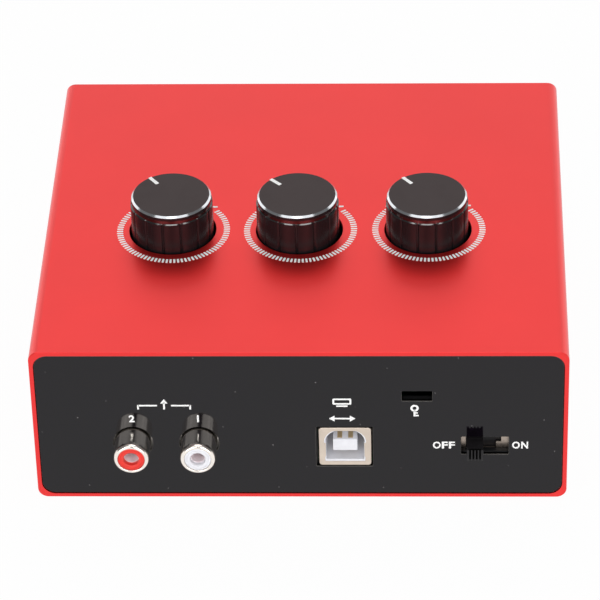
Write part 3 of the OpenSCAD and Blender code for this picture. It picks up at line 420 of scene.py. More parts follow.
KNOB_BLACK = Finish(
    "knob_black", (0.010, 0.0085, 0.0095), 0.25, specular=0.24, grain=0.5, depth=0.0004, patch=9, drift=0.03,
)
SHAFT_METAL = Finish("shaft_metal", (0.68, 0.68, 0.70), 0.25, 1.0, grain=0.15)
POT_GREEN = Finish("pot_green", (0.03, 0.09, 0.06), 0.5, mottle=0.15, patch=3)
TINNED_METAL = Finish("tinned_metal", (0.98, 0.85, 0.87), 0.45, 0.15, grain=0.2, mottle=0.1, patch=2)
PLATED_METAL = Finish(
    "plated_metal", (0.92, 0.86, 0.80), 0.19, 1.0, grain=0.6, depth=0.0006, mottle=0.04, patch=5,
)
INSERT_RED = Finish("insert_red", (0.78, 0.035, 0.022), 0.3, grain=0.3, depth=0.003, mottle=0.06, patch=2)
INSERT_WHITE = Finish(
    "insert_white", (0.79, 0.79, 0.83), 0.35, grain=0.3, depth=0.003, mottle=0.04, patch=2,
)
SOCKET_STEEL = Finish(
    "socket_steel", (0.70, 0.60, 0.51), 0.33, 1.0, grain=0.2, depth=0.003, mottle=0.06, patch=3,
)
# Painted shade: a darker copy of the socket steel for the switch frame, which sits recessed behind the rear
# panel.
SHADED_FRAME_STEEL = Finish(
    "frame_steel_painted_shade", (0.40, 0.335, 0.285), 0.3, 1.0, grain=0.3, depth=0.002, mottle=0.06, patch=3,
)
PHENOLIC_BROWN = Finish(
    "phenolic_brown", (0.34, 0.11, 0.035), 0.55, grain=0.2, depth=0.01, mottle=0.25, patch=2,
)
SLIDER_BLACK = Finish(
    "slider_black", (0.009, 0.008, 0.009), 0.4, specular=0.32, grain=0.3, depth=0.003, patch=4,
)
# Painted shade: a near-black matte that stands in for the shade deep inside the panels' cut-outs and in the
# grooves of the switch grip.
PAINTED_SHADE_BLACK = Finish(
    "recess_painted_shade", (0.002, 0.002, 0.002), 0.8, specular=0.05, grain=0.3, depth=0.003, patch=4,
)
BUTTON_GREY = Finish("button_grey", (0.42, 0.42, 0.43), 0.42, grain=0.3, depth=0.004, mottle=0.04)
LIGHT_GREEN = Finish("light_green", (0.05, 0.42, 0.10), 0.12, coat=0.6, grain=0.6, depth=0.001, patch=2)
BRIGHT_CUT = Finish(
    "bright_cut", (0.66, 0.68, 0.71), 0.15, 1.0, grain=0.12, depth=0.0006, mottle=0.04, patch=2,
)

# The socket_steel slot takes the darker, painted-shade copy of the socket steel.
SLOT_FINISHES: dict[str, Finish] = {
    finish.name: finish for finish in (
        CASE_RED, PANEL_BLACK, PLATE_STEEL, FOOT_RUBBER, BOARD_GREEN, SPACER_BRASS, BLACK_PLASTIC,
        CONTACT_GOLD, CAN_ALUMINIUM, KNOB_BLACK, SHAFT_METAL, POT_GREEN, TINNED_METAL, PLATED_METAL,
        INSERT_RED, INSERT_WHITE, PHENOLIC_BROWN, BUTTON_GREY, LIGHT_GREEN,
    )
} | {"socket_steel": SHADED_FRAME_STEEL}


def spun_cap(centre: Point) -> Finish:
    """Black anodised finish with fine turning lines about a knob's axis.

    Args:
        centre: A point on the knob's axis.

    Returns:
        The finish of that knob's cap.
    """
    return Finish(
        f"cap_black_{centre[0]:+.0f}", (0.030, 0.0155, 0.0155), roughness=0.33, specular=0.28,
        relief=Relief.SPUN, grain=0.14, depth=0.002, mottle=0.05, patch=9, anisotropy=0.7, centre=centre,
    )


class Workpiece:
    """One mesh on the bench, worked in millimetres."""

    WELD = 1e-4

    def __init__(self) -> None:
        """Starts with an empty mesh."""
        self.bm = bmesh.new()

    def loop(self, points: Iterable[Point]) -> Edges:
        """Joins points with a closed loop of edges."""
        verts = [self.bm.verts.new(p) for p in points]
        return [self.bm.edges.new(pair) for pair in zip(verts, verts[1:] + verts[:1])]

    def rounded(self, corners: Iterable[Point], radius: float, segments: int = 8) -> Edges:
        """Draws a flat outline with rounded corners.

        Args:
            corners: Corners in order, all in one plane.
            radius: Radius of every corner.
            segments: Straight steps in each corner.

        Returns:
            The outline's edges.
        """
        verts = [self.bm.verts.new(p) for p in corners]
        self.bm.faces.new(verts)
        made = bmesh.ops.bevel(
            self.bm, geom=verts, offset=radius, offset_type="OFFSET", segments=segments, profile=0.5,
            affect="VERTICES", material=-1,
        )
        face = made["verts"][0].link_faces[0]
        edges = list(face.edges)
        bmesh.ops.delete(self.bm, geom=[face], context="FACES_ONLY")
        return edges

    def circle(self, centre: Point, radius: float, axis: Axis, segments: int = 64) -> Edges:
        """Draws a circle about an axis.

        Args:
            centre: Its centre.
            radius: Its radius.
            axis: Direction that it faces.
            segments: Number of straight steps.

        Returns:
            The circle's edges.
        """
        matrix = Matrix.Translation(centre) @ axis.turn
        made = bmesh.ops.create_circle(
            self.bm, cap_ends=False, radius=radius, segments=segments, matrix=matrix,
        )
        return list({edge for vert in made["verts"] for edge in vert.link_edges})

    def fill(self, edges: Edges) -> Faces:
        """Fills an outline, leaving the outlines inside it open."""
        made = bmesh.ops.triangle_fill(self.bm, use_beauty=True, use_dissolve=False, edges=edges)
        return [item for item in made["geom"] if isinstance(item, bmesh.types.BMFace)]

    def bridge(self, *loops: Edges) -> Faces:
        """Joins each loop to the next with a band of faces.

        Args:
            loops: Loops of edges in order.

        Returns:
            The faces of all the bands.
        """
        faces: Faces = []
        for first, second in pairwise(loops):
            faces += bmesh.ops.bridge_loops(self.bm, edges=first + second)["faces"]
        return faces

    def open_face(self, faces: Faces, direction: Point) -> Edges:
        """Takes out the face that lies furthest along a direction.

        Args:
            faces: Faces to choose from.
            direction: The direction.

        Returns:
            The edges of the opening.
        """
        face = max(faces, key=lambda f: f.calc_center_median().dot(Vector(direction)))
        edges = list(face.edges)
        bmesh.ops.delete(self.bm, geom=[face], context="FACES_ONLY")
        return edges

    def extrude(self, faces: Faces, offset: Point) -> Faces:
        """Pulls flat faces into a closed solid.

        Args:
            faces: The faces to pull.
            offset: How far and where to.

        Returns:
            The faces at the far end.
        """
        made = bmesh.ops.extrude_face_region(self.bm, geom=faces)["geom"]
        moved = [item for item in made if isinstance(item, bmesh.types.BMVert)]
        bmesh.ops.translate(self.bm, vec=offset, verts=moved)
        return [item for item in made if isinstance(item, bmesh.types.BMFace)]

    def lathe(
        self, profile: Sequence[Flat], centre: Point, axis: Axis, steps: int = 64, closed: bool = True,
    ) -> None:
        """Turns a profile about an axis.

        Args:
            profile: Radius and distance along the axis of each point.
            centre: Point on the axis where the distance is nothing.
            axis: The axis.
            steps: Steps in the full turn.
            closed: Whether the last point joins the first.
        """
        place = Matrix.Translation(centre) @ axis.turn
        verts = [self.bm.verts.new(place @ Vector((radius, 0.0, along))) for radius, along in profile]
        pairs = list(pairwise(verts)) + ([(verts[-1], verts[0])] if closed else [])
        edges = [self.bm.edges.new(pair) for pair in pairs]
        bmesh.ops.spin(
            self.bm, geom=verts + edges, cent=centre, axis=axis.value, dvec=(0, 0, 0), angle=math.tau,
            steps=steps, use_merge=True, use_normal_flip=False, use_duplicate=False,
        )

    def block(self, low: Point, high: Point, bevel: float = 0.0, segments: int = 2) -> None:
        """Adds a block between two corners.

        Args:
            low: Lowest corner.
            high: Highest corner.
            bevel: Width of the rounding on its edges.
            segments: Steps in the rounding.
        """
        low_corner, high_corner = Vector(low), Vector(high)
        size = high_corner - low_corner
        matrix = Matrix.Translation((low_corner + high_corner) / 2) @ Matrix.Diagonal(size.to_4d())
        matrix[3][3] = 1.0
        made = bmesh.ops.create_cube(self.bm, size=1.0, matrix=matrix)
        if bevel:
            edges = list({edge for vert in made["verts"] for edge in vert.link_edges})
            self.round_edges(edges, bevel, segments)

    def round_edges(self, edges: Edges, width: float, segments: int = 2) -> None:
        """Rounds edges to a width.

        Args:
            edges: The edges.
            width: Width of the rounding.
            segments: Steps in the rounding.
        """
        bmesh.ops.bevel(
            self.bm, geom=edges, offset=width, offset_type="OFFSET", segments=segments, profile=0.5,
            affect="EDGES", material=-1, clamp_overlap=True,
        )

    def sharp_edges(self, faces: Faces, least: float = 40.0) -> Edges:
        """Edges of some faces that are folded by at least an angle in degrees."""
        edges = {edge for face in faces for edge in face.edges if len(edge.link_faces) == 2}
        return [edge for edge in edges if edge.calc_face_angle() > math.radians(least)]

    def paint(self, index: int, chosen: Iterable[bmesh.types.BMFace]) -> None:
        """Gives faces another of the piece's finishes."""
        for face in chosen:
            face.material_index = index

    def place(
        self, name: str, finishes: Sequence[Finish], slot: str, body: str = CHASSIS,
        replaces: Sequence[str] = (), crease: float = 32.0, weigh: bool = False,
    ) -> bpy.types.Object:
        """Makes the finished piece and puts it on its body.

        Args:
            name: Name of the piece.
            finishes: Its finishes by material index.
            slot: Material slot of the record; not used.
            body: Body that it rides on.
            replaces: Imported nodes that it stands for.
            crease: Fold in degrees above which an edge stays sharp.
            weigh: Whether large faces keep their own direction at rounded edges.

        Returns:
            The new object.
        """
        bm = self.bm
        bmesh.ops.remove_doubles(bm, verts=bm.verts, dist=self.WELD)
        bmesh.ops.recalc_face_normals(bm, faces=bm.faces)
        bmesh.ops.scale(bm, vec=(MM, MM, MM), verts=bm.verts)
        mesh = bpy.data.meshes.new(name)
        bm.to_mesh(mesh)
        bm.free()
        mesh.shade_smooth()
        mesh.set_sharp_from_angle(angle=math.radians(crease))
        piece = bpy.data.objects.new(name, mesh)
        bpy.context.scene.collection.objects.link(piece)
        for finish in finishes:
            mesh.materials.append(finish.material())
        if weigh:
            piece.modifiers.new("even_shading", "WEIGHTED_NORMAL").keep_sharp = True
        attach(piece, body)
        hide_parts(*replaces)
        LOG.info("%s rides on %s, %d faces", name, body, len(mesh.polygons))
        return piece


@dataclass
class CaseSleeve:
    """The red tube with its knob holes, screw ports and board rails."""

    wall: float = 1.0
    corner: float = 2.4
    inner_corner: float = 3.2
    chamfer: float = 0.12
    hole_radius: float = 10.25
    hole_edge: float = 0.12
    hole_steps: int = 96
    hole_shifts: tuple[float, float, float] = (0.0, 0.29, 0.2)
    port_steps: int = 32
    port_radius: float = 3.0
    port_bore: float = 1.5
    port_inset: float = 2.9
    end_gap: float = 2.4
    rail_depth: float = 2.0
    rail_thickness: float = 1.2
    rail_gap: float = 0.15

    def build(self) -> None:
        """Builds the tube and stands it for its node."""
        box = Span.of("case_sleeve")
        work = Workpiece()
        y0, y1 = box.low.y, box.high.y
        cut = self.chamfer
        outer = [
            self.ring(work, box, -cut, self.corner - cut, y0),
            self.ring(work, box, 0.0, self.corner, y0 + cut),
            self.ring(work, box, 0.0, self.corner, y1 - cut),
            self.ring(work, box, -cut, self.corner - cut, y1),
        ]
        inner = [self.ring(work, box, -self.wall, self.inner_corner, y) for y in (y0, y1)]
        work.bridge(outer[0], outer[1])
        skin = work.bridge(outer[1], outer[2])
        work.bridge(outer[2], outer[3])
        lining = work.bridge(inner[0], inner[1])
        work.bridge(outer[0], inner[0])
        work.bridge(outer[3], inner[1])
        self.knob_holes(work, box, work.open_face(skin, (0, 0, 1)), work.open_face(lining, (0, 0, 1)))
        self.ports_and_rails(work, box)
        work.place("case_tube", [CASE_RED], "case_red", replaces=["case_sleeve"], weigh=True)

    def ring(self, work: Workpiece, box: Span, grow: float, radius: float, y: float) -> Edges:
        """Outline of the tube's section, grown by a length, at a plane."""
        size = (box.size.x + 2 * grow, box.size.z + 2 * grow)
        return work.rounded(upright((box.centre.x, box.centre.z), size, y), radius)

    def knob_holes(self, work: Workpiece, box: Span, roof: Edges, ceiling: Edges) -> None:
        """Closes the top around three holes.

        Args:
            work: The tube.
            box: Its box.
            roof: Edges of the open outer face.
            ceiling: Edges of the open inner face.
        """
        top, under = box.high.z, box.high.z - self.wall
        for shift, side in zip(self.hole_shifts, Knob.SIDES):
            axis = Span.of(f"knob_cap_{side}").centre
            levels = ((self.hole_edge, top), (0.0, top - self.hole_edge), (0.0, under))
            rings = [
                work.circle((axis.x + shift, axis.y, z), self.hole_radius + grow, Axis.UP, self.hole_steps)
                for grow, z in levels
            ]
            work.bridge(*rings)
            roof = roof + rings[0]
            ceiling = ceiling + rings[-1]
        work.fill(roof)
        work.fill(ceiling)

    def ports_and_rails(self, work: Workpiece, box: Span) -> None:
        """Adds the screw ports in the corners and the rails that hold the main board.

        Args:
            work: The tube.
            box: Its box.
        """
        y0, y1 = box.low.y + self.end_gap, box.high.y - self.end_gap
        side = box.size.x / 2 - self.wall
        inset = self.wall + self.port_inset
        radii = (self.port_bore, self.port_radius)
        profile = [(radii[0], 0.0), (radii[1], 0.0), (radii[1], y1 - y0), (radii[0], y1 - y0)]
        board = Span.of("main_board")
        for sx in (-1, 1):
            for z in (box.low.z + inset, box.high.z - inset):
                work.lathe(profile, (sx * (box.size.x / 2 - inset), y0, z), Axis.FORWARD, self.port_steps)
            for z in (board.low.z - self.rail_gap - self.rail_thickness, board.high.z + self.rail_gap):
                xs = sorted((sx * (side - self.rail_depth), sx * (side + self.wall / 2)))
                work.block((xs[0], y0, z), (xs[1], y1, z + self.rail_thickness))


@dataclass(frozen=True)
class Cutout:
    """An outline in a faceplate: round where it has no height."""

    ROUND_STEPS = 72

    x: float
    z: float
    width: float
    height: float = 0.0
    corner: float = 0.25
    segments: int = 3

    def draw(self, work: Workpiece, y: float, grow: float = 0.0) -> Edges:
        """Draws the outline in a plane.

        Args:
            work: The plate.
            y: The plane.
            grow: Length to grow the outline by.

        Returns:
            The outline's edges.
        """
        if not self.height:
            return work.circle((self.x, y, self.z), self.width / 2 + grow, Axis.FORWARD, self.ROUND_STEPS)
        size = (self.width + 2 * grow, self.height + 2 * grow)
        return work.rounded(upright((self.x, self.z), size, y), self.corner + grow, self.segments)


@dataclass
class Faceplate:
    """A gloss black plate in one end of the tube, with its cut-outs and their pale cut edges; deeper in,
    their walls are painted shade black.
    """

    node: str
    piece: str
    facing: Axis
    corner: float = 3.05
    corner_steps: int = 8
    edge: float = 0.08
    # Depth of the pale cut edge; deeper than this the walls are painted shade black.
    pale_depth: float = 0.4

    def build(self, cutouts: Sequence[Cutout]) -> None:
        """Builds the plate around its cut-outs and stands it for its node.

        Args:
            cutouts: The plate's openings.
        """
        box = Span.of(self.node)
        rearward = self.facing is Axis.REARWARD
        face, back = (box.low.y, box.high.y) if rearward else (box.high.y, box.low.y)
        inward = math.copysign(1.0, back - face)
        shoulder, dim = face + inward * self.edge, face + inward * self.pale_depth
        outline = Cutout(
            box.centre.x, box.centre.z, box.size.x, box.size.z, self.corner, self.corner_steps,
        )
        work = Workpiece()
        fronts: Edges = []
        backs: Edges = []
        for opening, grow in ((outline, -self.edge), *((cutout, self.edge) for cutout in cutouts)):
            rings = [opening.draw(work, face, grow), *(opening.draw(work, y) for y in (shoulder, dim, back))]
            # The first stretch of each wall keeps the pale cut edge; the rest of the wall is painted shade
            # black.
            work.paint(1, work.bridge(*rings[:3]))
            work.paint(2, work.bridge(*rings[2:]))
            fronts += rings[0]
            backs += rings[-1]
        work.fill(fronts)
        work.fill(backs)
        work.place(self.piece, [PANEL_BLACK, CUT_EDGE, PAINTED_SHADE_BLACK], "panel_black", replaces=[self.node])


@dataclass
class RearOpenings:
    """Openings of the rear panel. Places are X and the height above the plane that the feet stand on."""

    jack_width: float = 9.2
    jack_shift: Flat = (0.06, -0.08)
    usb_shift: float = -0.15
    usb_clear: Flat = (1.0, 0.7)
    switch_shift: float = 0.3
    switch_level: float = 16.6
    switch_size: Flat = (11.0, 5.15)
    lock_place: Flat = (26.9, 30.87)
    lock_size: Flat = (7.0, 2.9)

    def cutouts(self) -> list[Cutout]:
        """Openings of both jacks, the USB socket, the switch and the lock slot.

        Returns:
            The cut-outs, with their clearances around the sockets.
        """
        usb, switch = Span.of("usb_shell"), Span.of("switch_frame")
        across, up = self.jack_shift
        jacks = [Span.of(f"rca_shell_{side}").centre for side in ("left", "right")]
        usb_size = (usb.size.x + self.usb_clear[0], usb.size.z + self.usb_clear[1])
        return [
            *(Cutout(jack.x + across, jack.z + up, self.jack_width) for jack in jacks),
            Cutout(usb.centre.x + self.usb_shift, usb.centre.z, *usb_size),
            Cutout(switch.centre.x + self.switch_shift, self.switch_level, *self.switch_size),
            Cutout(*self.lock_place, *self.lock_size),
        ]


@dataclass
class FrontOpenings:
    """Openings of the front panel."""

    combo_width: float = 24.4
    socket_width: float = 9.8
    button_width: float = 6.5
    light_width: float = 3.1

    def cutouts(self) -> list[Cutout]:
        """Openings of the three sockets, the button and both lights.

        Returns:
            The cut-outs.
        """
        combo, button, lights = (Span.of(n) for n in ("combo_jack_body", "phantom_button", "status_leds"))
        middle = Span.of("front_faceplate").centre.z
        return [
            Cutout(combo.centre.x, middle, self.combo_width),
            *(Cutout(Span.of(node).centre.x, middle, self.socket_width) for node in PHONE_SOCKETS),
            Cutout(button.centre.x, button.centre.z, self.button_width),
            *(Cutout(x, lights.centre.z, self.light_width) for x in FrontControls.light_places(lights)),
        ]


class Stencil:
    """Printed marks on a flat face, as thin raised ink."""

    CORNER_STEPS = 2
    FRAME_STEPS = 3
    LEAST_ROUNDING = 0.05
    LETTER_STEPS = 6
    LETTER_WELD = 1e-5

    def __init__(self, place: Matrix, thickness: float = 0.03) -> None:
        """Starts a print.

        Args:
            place: Takes a mark's flat coordinates, with ink rising along +Z, to the part's frame.
            thickness: Thickness of the ink.
        """
        self.place = place
        self.thickness = thickness
        self.work = Workpiece()

    def stamp(self, verts: Iterable[bmesh.types.BMVert]) -> None:
        """Moves a mark from its flat coordinates to its place on the part."""
        bmesh.ops.transform(self.work.bm, matrix=self.place, verts=list(verts))

    def ink(self, outline: Edges, *holes: Edges) -> None:
        """Fills an outline, less its holes, and gives it the ink's thickness.

        Args:
            outline: The outline's edges.
            holes: The edges of each hole.
        """
        edges = sum(holes, outline)
        verts = {vert for edge in edges for vert in edge.verts}
        far = self.work.extrude(self.work.fill(edges), (0, 0, self.thickness))
        self.stamp(verts | {vert for face in far for vert in face.verts})

    def bar(self, start: Flat, end: Flat, width: float, ends: float = 0.3) -> None:
        """Prints a straight stroke.

        Args:
            start: Middle of one end.
            end: Middle of the other end.
            width: Width of the stroke.
            ends: Rounding of its corners as a share of half the width.
        """
        a, b = Vector(start), Vector(end)
        side = (b - a).normalized().orthogonal() * width / 2
        corners = [(p.x, p.y, 0.0) for p in (a - side, b - side, b + side, a + side)]
        self.ink(self.work.rounded(corners, ends * width / 2, self.CORNER_STEPS))

    def ring(self, centre: Flat, radius: float, width: float, segments: int = 32) -> None:
        """Prints a round line.

        Args:
            centre: Centre of the line.
            radius: Radius of its middle.
            width: Width of the line.
            segments: Straight steps in the turn.
        """
        middle = (*centre, 0.0)
        outer = self.work.circle(middle, radius + width / 2, Axis.UP, segments)
        self.ink(outer, self.work.circle(middle, radius - width / 2, Axis.UP, segments))

    def shape(self, corners: Sequence[Flat]) -> None:
        """Prints a filled shape with slightly rounded corners."""
        flat = [(x, y, 0.0) for x, y in corners]
        self.ink(self.work.rounded(flat, self.LEAST_ROUNDING, self.CORNER_STEPS))

    def frame(self, centre: Flat, size: Flat, width: float, rounding: float = 0.3) -> None:
        """Prints the line around a rectangle.

        Args:
            centre: Middle of the rectangle.
            size: Its width and height.
            width: Width of the line.
            rounding: Radius of the outer corners.
        """
        loops = []
        for grow, radius in ((width / 2, rounding), (-width / 2, rounding - width / 2)):
            half = (size[0] / 2 + grow, size[1] / 2 + grow)
            corners = [(centre[0] + sx * half[0], centre[1] + sy * half[1], 0.0) for sx, sy in CORNER_SIGNS]
            loops.append(self.work.rounded(corners, max(radius, self.LEAST_ROUNDING), self.FRAME_STEPS))
        self.ink(*loops)

    def letters(self, body: str, centre: Flat, size: Flat, bold: float = 0.03) -> None:
        """Prints plain lettering that fills a box.

        Args:
            body: The letters or numbers.
            centre: Middle of the box.
            size: Width and height of the box, with no width where the letters keep their own.
            bold: Widening of the strokes as a share of the letter size.
        """
        curve = bpy.data.curves.new("letters", "FONT")
        curve.body = body
        curve.offset = bold
        curve.resolution_u = self.LETTER_STEPS
        holder = bpy.data.objects.new("letters", curve)
        bpy.context.scene.collection.objects.link(holder)
        graph = bpy.context.evaluated_depsgraph_get()
        mesh = bpy.data.meshes.new_from_object(holder.evaluated_get(graph))
        bpy.data.objects.remove(holder)
        bpy.data.curves.remove(curve)
        xs = [v.co.x for v in mesh.vertices]
        ys = [v.co.y for v in mesh.vertices]
        tall = size[1] / (max(ys) - min(ys))
        wide = size[0] / (max(xs) - min(xs)) if size[0] else tall
        middle = Vector(((max(xs) + min(xs)) / 2, (max(ys) + min(ys)) / 2, 0.0))
        scale = Matrix.Diagonal((wide, tall, 1.0, 1.0))
        mesh.transform(Matrix.Translation((*centre, 0.0)) @ scale @ Matrix.Translation(-middle))
        known = set(self.work.bm.verts)
        self.work.bm.from_mesh(mesh)
        bpy.data.meshes.remove(mesh)
        fresh = [vert for vert in self.work.bm.verts if vert not in known]
        bmesh.ops.remove_doubles(self.work.bm, verts=fresh, dist=self.LETTER_WELD)
        fresh = [vert for vert in self.work.bm.verts if vert not in known]
        faces = list({face for vert in fresh for face in vert.link_faces})
        far = self.work.extrude(faces, (0, 0, self.thickness))
        self.stamp(set(fresh) | {vert for face in far for vert in face.verts})


def rear_place(y: float) -> Matrix:
    """Flat coordinates of the rear panel: first X, then Z, with ink rising rearwards from plane y."""
    return Matrix.Translation((0, y, 0)) @ Matrix.Rotation(math.pi / 2, 4, "X")


def front_place(y: float) -> Matrix:
    """Flat coordinates of the front panel: first -X, then Z, with ink rising forwards from plane y."""
    turn = Matrix.Rotation(math.pi, 4, "Z") @ Matrix.Rotation(math.pi / 2, 4, "X")
    return Matrix.Translation((0, y, 0)) @ turn


@dataclass
class RearPrint:
    """White marks on the rear panel. Places are X and the height above the plane that the feet stand on."""

    stroke: float = 0.42
    letter_height: float = 2.0
    bold: float = 0.03
    switch_level: float = 16.78
    switch_letters: tuple[tuple[str, float, float], ...] = (
        ("O", 31.44, 1.78), ("F", 33.29, 1.4), ("F", 34.91, 1.4), ("O", 49.65, 1.78), ("N", 51.64, 1.58),
    )
    number_level: float = 24.44
    numbers: tuple[tuple[str, str, float], ...] = (("2", "left", 0.05), ("1", "right", 0.0))
    bracket_level: float = 28.24
    bracket_half: float = 6.0
    bracket_gap: float = 1.6
    bracket_rise: float = 0.2
    bracket_fall: float = 1.1
    arrow_stem: float = 0.9
    arrow_half: float = 0.85
    arrow_head: Flat = (0.6, 1.85)
    screen_shift: float = -0.55
    screen_level: float = 29.39
    screen_size: Flat = (3.9, 1.3)
    stand_level: float = 28.09
    stand_half: float = 1.3
    link_level: float = 24.49
    link_half: float = 3.05
    link_head: Flat = (1.3, 0.85)
    key_place: Flat = (26.35, 26.74)
    bow_rise: float = 0.75
    bow_radius: float = 0.72
    bow_width: float = 0.48
    blade_ends: Flat = (0.05, -1.6)
    blade_width: float = 0.46
    tooth_root: float = 0.2
    teeth: tuple[Flat, ...] = ((-1.35, 0.95), (-0.6, 0.75))

    def build(self) -> None:
        """Prints the marks of the jacks, the USB socket, the lock slot and the switch."""
        print_ = Stencil(rear_place(Span.of("rear_faceplate").low.y))
        self.jack_marks(print_)
        self.computer_mark(print_)
        self.key_mark(print_)
        for letter, x, width in self.switch_letters:
            print_.letters(letter, (x, self.switch_level), (width, self.letter_height), self.bold)
        print_.work.place("rear_print", [PRINT_WHITE], "panel_black")

    def jack_marks(self, print_: Stencil) -> None:
        """Numbers over both jacks, and a bracket with an outward arrow that joins them.

        Args:
            print_: The print to add to.
        """
        xs = {side: Span.of(f"rca_shell_{side}").centre.x for _, side, _ in self.numbers}
        for number, side, shift in self.numbers:
            place = (xs[side] + shift, self.number_level)
            print_.letters(number, place, (0.0, self.letter_height), self.bold)
        middle = sum(xs.values()) / 2
        level, reach = self.bracket_level, self.bracket_half
        for s in (-1, 1):
            end = middle + s * reach
            print_.bar((middle + s * self.bracket_gap, level), (end, level), self.stroke)
            print_.bar((end, level + self.bracket_rise), (end, level - self.bracket_fall), self.stroke)
        print_.bar((middle, level - self.bracket_fall), (middle, level + self.arrow_stem), self.stroke)
        root, tip = (level + rise for rise in self.arrow_head)
        print_.shape([(middle - self.arrow_half, root), (middle + self.arrow_half, root), (middle, tip)])

    def computer_mark(self, print_: Stencil) -> None:
        """A screen on its stand over a two-way arrow.

        Args:
            print_: The print to add to.
        """
        x = Span.of("usb_shell").centre.x + self.screen_shift
        print_.frame((x, self.screen_level), self.screen_size, self.stroke)
        left, right = x - self.stand_half, x + self.stand_half
        print_.bar((left, self.stand_level), (right, self.stand_level), self.stroke)
        level, (head, half) = self.link_level, self.link_head
        shaft = self.link_half - head
        print_.bar((x - shaft, level), (x + shaft, level), self.stroke)
        for s in (-1, 1):
            tip = x + s * self.link_half
            root = tip - s * head
            corners = [(root, level - half), (tip, level), (root, level + half)]
            print_.shape(corners if s > 0 else corners[::-1])

    def key_mark(self, print_: Stencil) -> None:
        """A small key under the lock slot.

        Args:
            print_: The print to add to.
        """
        x, z = self.key_place
        print_.ring((x, z + self.bow_rise), self.bow_radius, self.bow_width)
        top, bottom = (z + end for end in self.blade_ends)
        print_.bar((x, top), (x, bottom), self.blade_width)
        for level, reach in self.teeth:
            print_.bar((x + self.tooth_root, z + level), (x + reach, z + level), self.stroke)


@dataclass
class FrontPrint:
    """Plain numbers at both inputs and a headphone sign. Heights are above the plane of the feet."""

    bold: float = 0.035
    number_height: float = 2.15
    one_level: float = 39.0
    two_level: float = 34.6
    two_width: float = 1.7
    ear_half: float = 1.5
    ear_low: float = 33.6
    ear_high: float = 35.0
    ear_width: float = 0.8
    band_level: float = 35.6
    band_width: float = 0.42

    def build(self) -> None:
        """Prints the marks of the three sockets."""
        print_ = Stencil(front_place(Span.of("front_faceplate").high.y))
        combo, instrument, phones = (-Span.of(node).centre.x for node in ("combo_jack_body", *PHONE_SOCKETS))
        print_.letters("1", (combo, self.one_level), (0.0, self.number_height), self.bold)
        print_.letters("2", (instrument, self.two_level), (self.two_width, self.number_height), self.bold)
        left, right = phones - self.ear_half, phones + self.ear_half
        for x in (left, right):
            print_.bar((x, self.ear_low), (x, self.ear_high), self.ear_width)
        print_.bar((left, self.band_level), (right, self.band_level), self.band_width)
        print_.work.place("front_print", [PRINT_WHITE], "panel_black")


@dataclass
class DialPrint:
    """Ticks around each knob, with a minus and a plus mark. Centres are X and the length from the rear."""

    centres: tuple[Flat, ...] = ((-30.92, 48.6), (-0.78, 48.7), (29.6, 49.0))
    inner: float = 11.92
    outer: float = 13.43
    tick_width: float = 0.5
    tick_count: int = 65
    tick_step: float = 4.0
    tick_ends: float = 0.7
    first_tick: float = 38.0
    minus_angle: float = 46.2
    plus_angle: float = 135.5
    mark_radius: float = 13.5
    mark_length: float = 1.35
    minus_width: float = 0.6

    def build(self) -> None:
        """Prints the three rings."""
        case = Span.of("case_sleeve")
        print_ = Stencil(Matrix.Translation((0, 0, case.high.z)))
        for x, from_rear in self.centres:
            y = case.low.y + from_rear
            for i in range(self.tick_count):
                angle = math.radians(self.first_tick - i * self.tick_step)
                way = Vector((math.cos(angle), math.sin(angle)))
                start, end = (Vector((x, y)) + way * r for r in (self.inner, self.outer))
                print_.bar(tuple(start), tuple(end), self.tick_width, self.tick_ends)
            self.end_mark(print_, (x, y), self.minus_angle, crossed=False)
            self.end_mark(print_, (x, y), self.plus_angle, crossed=True)
        print_.work.place("dial_print", [PRINT_WHITE], "case_red")

    def end_mark(self, print_: Stencil, centre: Flat, degrees: float, crossed: bool) -> None:
        """Prints a minus mark, or a plus mark where it is crossed.

        Args:
            print_: The print to add to.
            centre: Centre of the dial.
            degrees: Direction of the mark from the centre.
            crossed: Whether it is a plus mark.
        """
        angle = math.radians(degrees)
        x = centre[0] + self.mark_radius * math.cos(angle)
        y = centre[1] + self.mark_radius * math.sin(angle)
        half = self.mark_length / 2
        if not crossed:
            print_.bar((x - half, y), (x + half, y), self.minus_width)
            return
        arm = self.tick_width / 2
        print_.bar((x - half, y), (x - arm, y), self.tick_width)
        print_.bar((x + arm, y), (x + half, y), self.tick_width)
        print_.bar((x, y - half), (x, y + half), self.tick_width)


